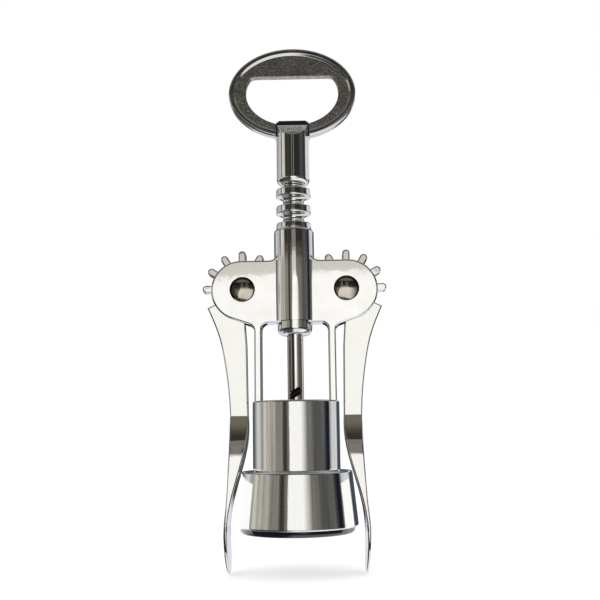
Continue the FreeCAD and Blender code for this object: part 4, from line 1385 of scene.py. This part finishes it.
def arch_mask(tree, s, x, z, rough):
    """1 inside the arch: rounded at its top, with a foot that slants down to the right."""
    centre = (s.arch_left + s.arch_right) / 2
    across = maths(tree, "SUBTRACT", x, centre)
    across = maths(tree, "DIVIDE", across, (s.arch_right - s.arch_left) / 2)
    sides = maths(tree, "POWER", maths(tree, "ABSOLUTE", across), 6.0)
    rise = maths(tree, "SUBTRACT", z, s.arch_base)
    rise = maths(tree, "DIVIDE", rise, s.arch_top - s.arch_base)
    reach = maths(tree, "ADD", sides, maths(tree, "MAXIMUM", rise, 0.0))
    reach = maths(tree, "ADD", reach, maths(tree, "MULTIPLY", rough, 0.12))
    arch = remap(tree, reach, 1.05, 1.08, 1.0, 0.0, True)
    foot = maths(tree, "ADD", z, maths(tree, "MULTIPLY", x, 0.2))
    foot = maths(tree, "ADD", foot, maths(tree, "MULTIPLY", rough, 0.02))
    foot = remap(tree, foot, s.arch_foot, s.arch_foot + 0.008, 0.0, 1.0, True)
    return maths(tree, "MULTIPLY", arch, foot)


def border_mask(tree, s, x, z):
    """1 on the border, on the strip over it and on the two towers."""
    middle = (s.border_left + s.border_right) / 2
    half = (s.border_right - s.border_left) / 2
    aside = maths(tree, "ABSOLUTE", maths(tree, "SUBTRACT", x, middle))
    border = remap(tree, aside, half * 0.95, half * 1.05, 1.0, 0.0, True)
    border = maths(tree, "MULTIPLY", border, maths(tree, "GREATER_THAN", z, s.arch_base))
    below = maths(tree, "LESS_THAN", z, s.border_top + s.strip_height)
    border = maths(tree, "MULTIPLY", border, below)
    towers = maths(tree, "ABSOLUTE", maths(tree, "SUBTRACT", x, s.tower_middle))
    towers = maths(tree, "COMPARE", towers, s.tower_offset, s.tower_width / 2)
    towers = maths(tree, "MULTIPLY", towers, maths(tree, "GREATER_THAN", z, s.border_top))
    return maths(tree, "MAXIMUM", border, towers)


def screen_surface(tree, s):
    """A white arch with a grey border and a brown strip over it, on a clear screen."""
    place = add_node(tree, "ShaderNodeTexCoord").outputs["Object"]
    split = add_node(tree, "ShaderNodeSeparateXYZ", {"Vector": place}).outputs
    x, z = split["X"], split["Z"]
    arch = arch_mask(tree, s, x, z, noise(tree, place, 45.0, 4.0, 0.7))
    low, high = s.border_top - s.strip_blur, s.border_top + s.strip_blur
    strip = remap(tree, z, low, high, 0.0, 1.0, True)
    over = blend_colours(tree, strip, BORDER_LIGHT, STRIP_LIGHT)
    fade = remap(tree, x, s.arch_right * 0.4, s.arch_right, 0.0, 1.0)
    lit = blend_colours(tree, arch, over, blend_colours(tree, fade, *ARCH_LIGHT))
    shown = maths(tree, "MAXIMUM", arch, border_mask(tree, s, x, z))
    clear = add_node(tree, "ShaderNodeBsdfTransparent").outputs[0]
    return mix_shaders(tree, shown, clear, glow(tree, lit))


def make_screen(s):
    """The lit screen behind the camera, which only what is polished shows."""
    screen = stage_plane("lit_screen", 2.0, stage_material("lit_screen", screen_surface, s))
    half_width = s.arch_right * 1.6
    half_height = (s.screen_top - s.screen_bottom) / 2
    size = Matrix.Diagonal((half_width, half_height, 1, 1))
    middle = Vector((0, -s.screen_distance, (s.screen_top + s.screen_bottom) / 2))
    upright = Matrix.Rotation(math.radians(90), 4, "X")
    screen.data.transform(Matrix.Translation(middle) @ upright @ size)
    only_mirrored(screen)


def make_cards(s):
    """Two low white cards behind the object's sides, which only what is polished shows."""
    material = stage_material("white_card", lambda tree, s: glow(tree, CARD_LIGHT), s)
    for name, start, end in CARDS:
        bm = bmesh.new()
        for step in range(CURVE_STEPS + 1):
            turn = math.radians(start + (end - start) * step / CURVE_STEPS)
            place = (s.card_distance * math.sin(turn), -s.card_distance * math.cos(turn))
            low, high = (bm.verts.new((*place, z)) for z in (s.card_bottom, s.card_top))
            if step:
                bm.faces.new((before[0], low, high, before[1]))
            before = (low, high)
        only_mirrored(stage_piece(bm, name, material))


def only_mirrored(stage):
    """Hides a piece of the stage from all but what is polished or clear."""
    stage.visible_camera = False
    stage.visible_diffuse = False
    stage.visible_shadow = False
    stage.visible_volume_scatter = False


def floor_surface(tree, s):
    """Matt, and lifted towards white for the eye alone."""
    eye = add_node(tree, "ShaderNodeLightPath").outputs["Is Camera Ray"]
    lift = glow(tree, WHITE, maths(tree, "MULTIPLY", eye, s.floor_lift))
    matt = add_node(tree, "ShaderNodeBsdfDiffuse", {"Color": (*s.floor_colour, 1.0)}).outputs[0]
    return add_node(tree, "ShaderNodeAddShader", {0: matt, 1: lift}).outputs[0]


def make_floor(s):
    """A plain pale floor just under the levers' tips."""
    floor = stage_plane("floor", s.floor_size, stage_material("pale_floor", floor_surface, s))
    floor.data.transform(Matrix.Translation((0, 0, CAD_BOX[0].z - s.floor_gap)))
    floor.visible_glossy = False


def make_lamp(scene, s):
    """One large soft lamp over the camera's left shoulder."""
    data = bpy.data.lights.new("soft_lamp", "AREA")
    data.energy = s.lamp_power
    data.size = s.lamp_size
    lamp = bpy.data.objects.new("soft_lamp", data)
    scene.collection.objects.link(lamp)
    place = Vector(s.lamp_place)
    aim = Vector((0, 0, PIVOT.z)) - place
    turn = aim.to_track_quat("-Z", "Y").to_matrix().to_4x4()
    lamp.matrix_world = Matrix.Translation(place) @ turn
    lamp.visible_glossy = False


def make_camera(scene, s):
    """The camera, which looks up at the object from the height of the bell."""
    yaw, pitch, roll = s.camera_yaw, s.camera_pitch, s.camera_roll
    level = Vector((-math.sin(yaw), math.cos(yaw), 0))
    ahead = level * math.cos(pitch) + Vector(Z_AXIS) * math.sin(pitch)
    right = Vector((math.cos(yaw), math.sin(yaw), 0))
    up = right.cross(ahead)
    turned_right = right * math.cos(roll) + up * math.sin(roll)
    turned_up = up * math.cos(roll) - right * math.sin(roll)
    data = bpy.data.cameras.new("camera")
    data.lens = s.lens
    data.clip_start = 0.01
    camera = bpy.data.objects.new("camera", data)
    scene.collection.objects.link(camera)
    axes = Matrix((turned_right, turned_up, -ahead)).transposed()
    place = Vector((s.camera_x, s.camera_y, s.camera_z))
    camera.matrix_world = Matrix.Translation(place) @ axes.to_4x4()
    scene.camera = camera


class CORKSCREW_OT_stage(Operator):
    """Set the floor, the light and the camera"""

    bl_idname = "corkscrew.make_stage"
    bl_label = "Stage"

    def execute(self, context):
        scene = context.scene
        s = scene.corkscrew.studio
        scene.view_settings.view_transform = "Standard"
        make_world(scene, s)
        make_screen(s)
        make_cards(s)
        make_floor(s)
        make_lamp(scene, s)
        make_camera(scene, s)
        return {"FINISHED"}


OPERATORS = (
    CORKSCREW_OT_frame, CORKSCREW_OT_bell, CORKSCREW_OT_bottle_ring, CORKSCREW_OT_pins,
    CORKSCREW_OT_rack, CORKSCREW_OT_collar, CORKSCREW_OT_neck, CORKSCREW_OT_head,
    CORKSCREW_OT_levers, CORKSCREW_OT_worm, CORKSCREW_OT_stage,
)


class CORKSCREW_PT_panel(Panel):
    """Lists the pieces"""

    bl_label = "Wing Corkscrew"
    bl_idname = "CORKSCREW_PT_panel"
    bl_space_type = "VIEW_3D"
    bl_region_type = "UI"
    bl_category = "Corkscrew"

    def draw(self, context):
        column = self.layout.column(align=True)
        for operator in OPERATORS:
            column.operator(operator.bl_idname)


CLASSES = (
    HeadSizes, NeckSizes, RackSizes, BellSizes, PinSizes, LeverSizes, WormSizes, Finishes, Studio,
    CorkscrewSettings, *OPERATORS, CORKSCREW_PT_panel,
)


def register():
    """Adds the settings, the operators and the panel."""
    for cls in CLASSES:
        bpy.utils.register_class(cls)
    bpy.types.Scene.corkscrew = PointerProperty(type=CorkscrewSettings)


def unregister():
    """Takes them away again."""
    del bpy.types.Scene.corkscrew
    for cls in reversed(CLASSES):
        bpy.utils.unregister_class(cls)


def main():
    """Makes the pieces and the stage."""
    register()
    for operator in OPERATORS:
        group, name = operator.bl_idname.split(".")
        getattr(getattr(bpy.ops, group), name)()


if __name__ == "__main__":
    main()
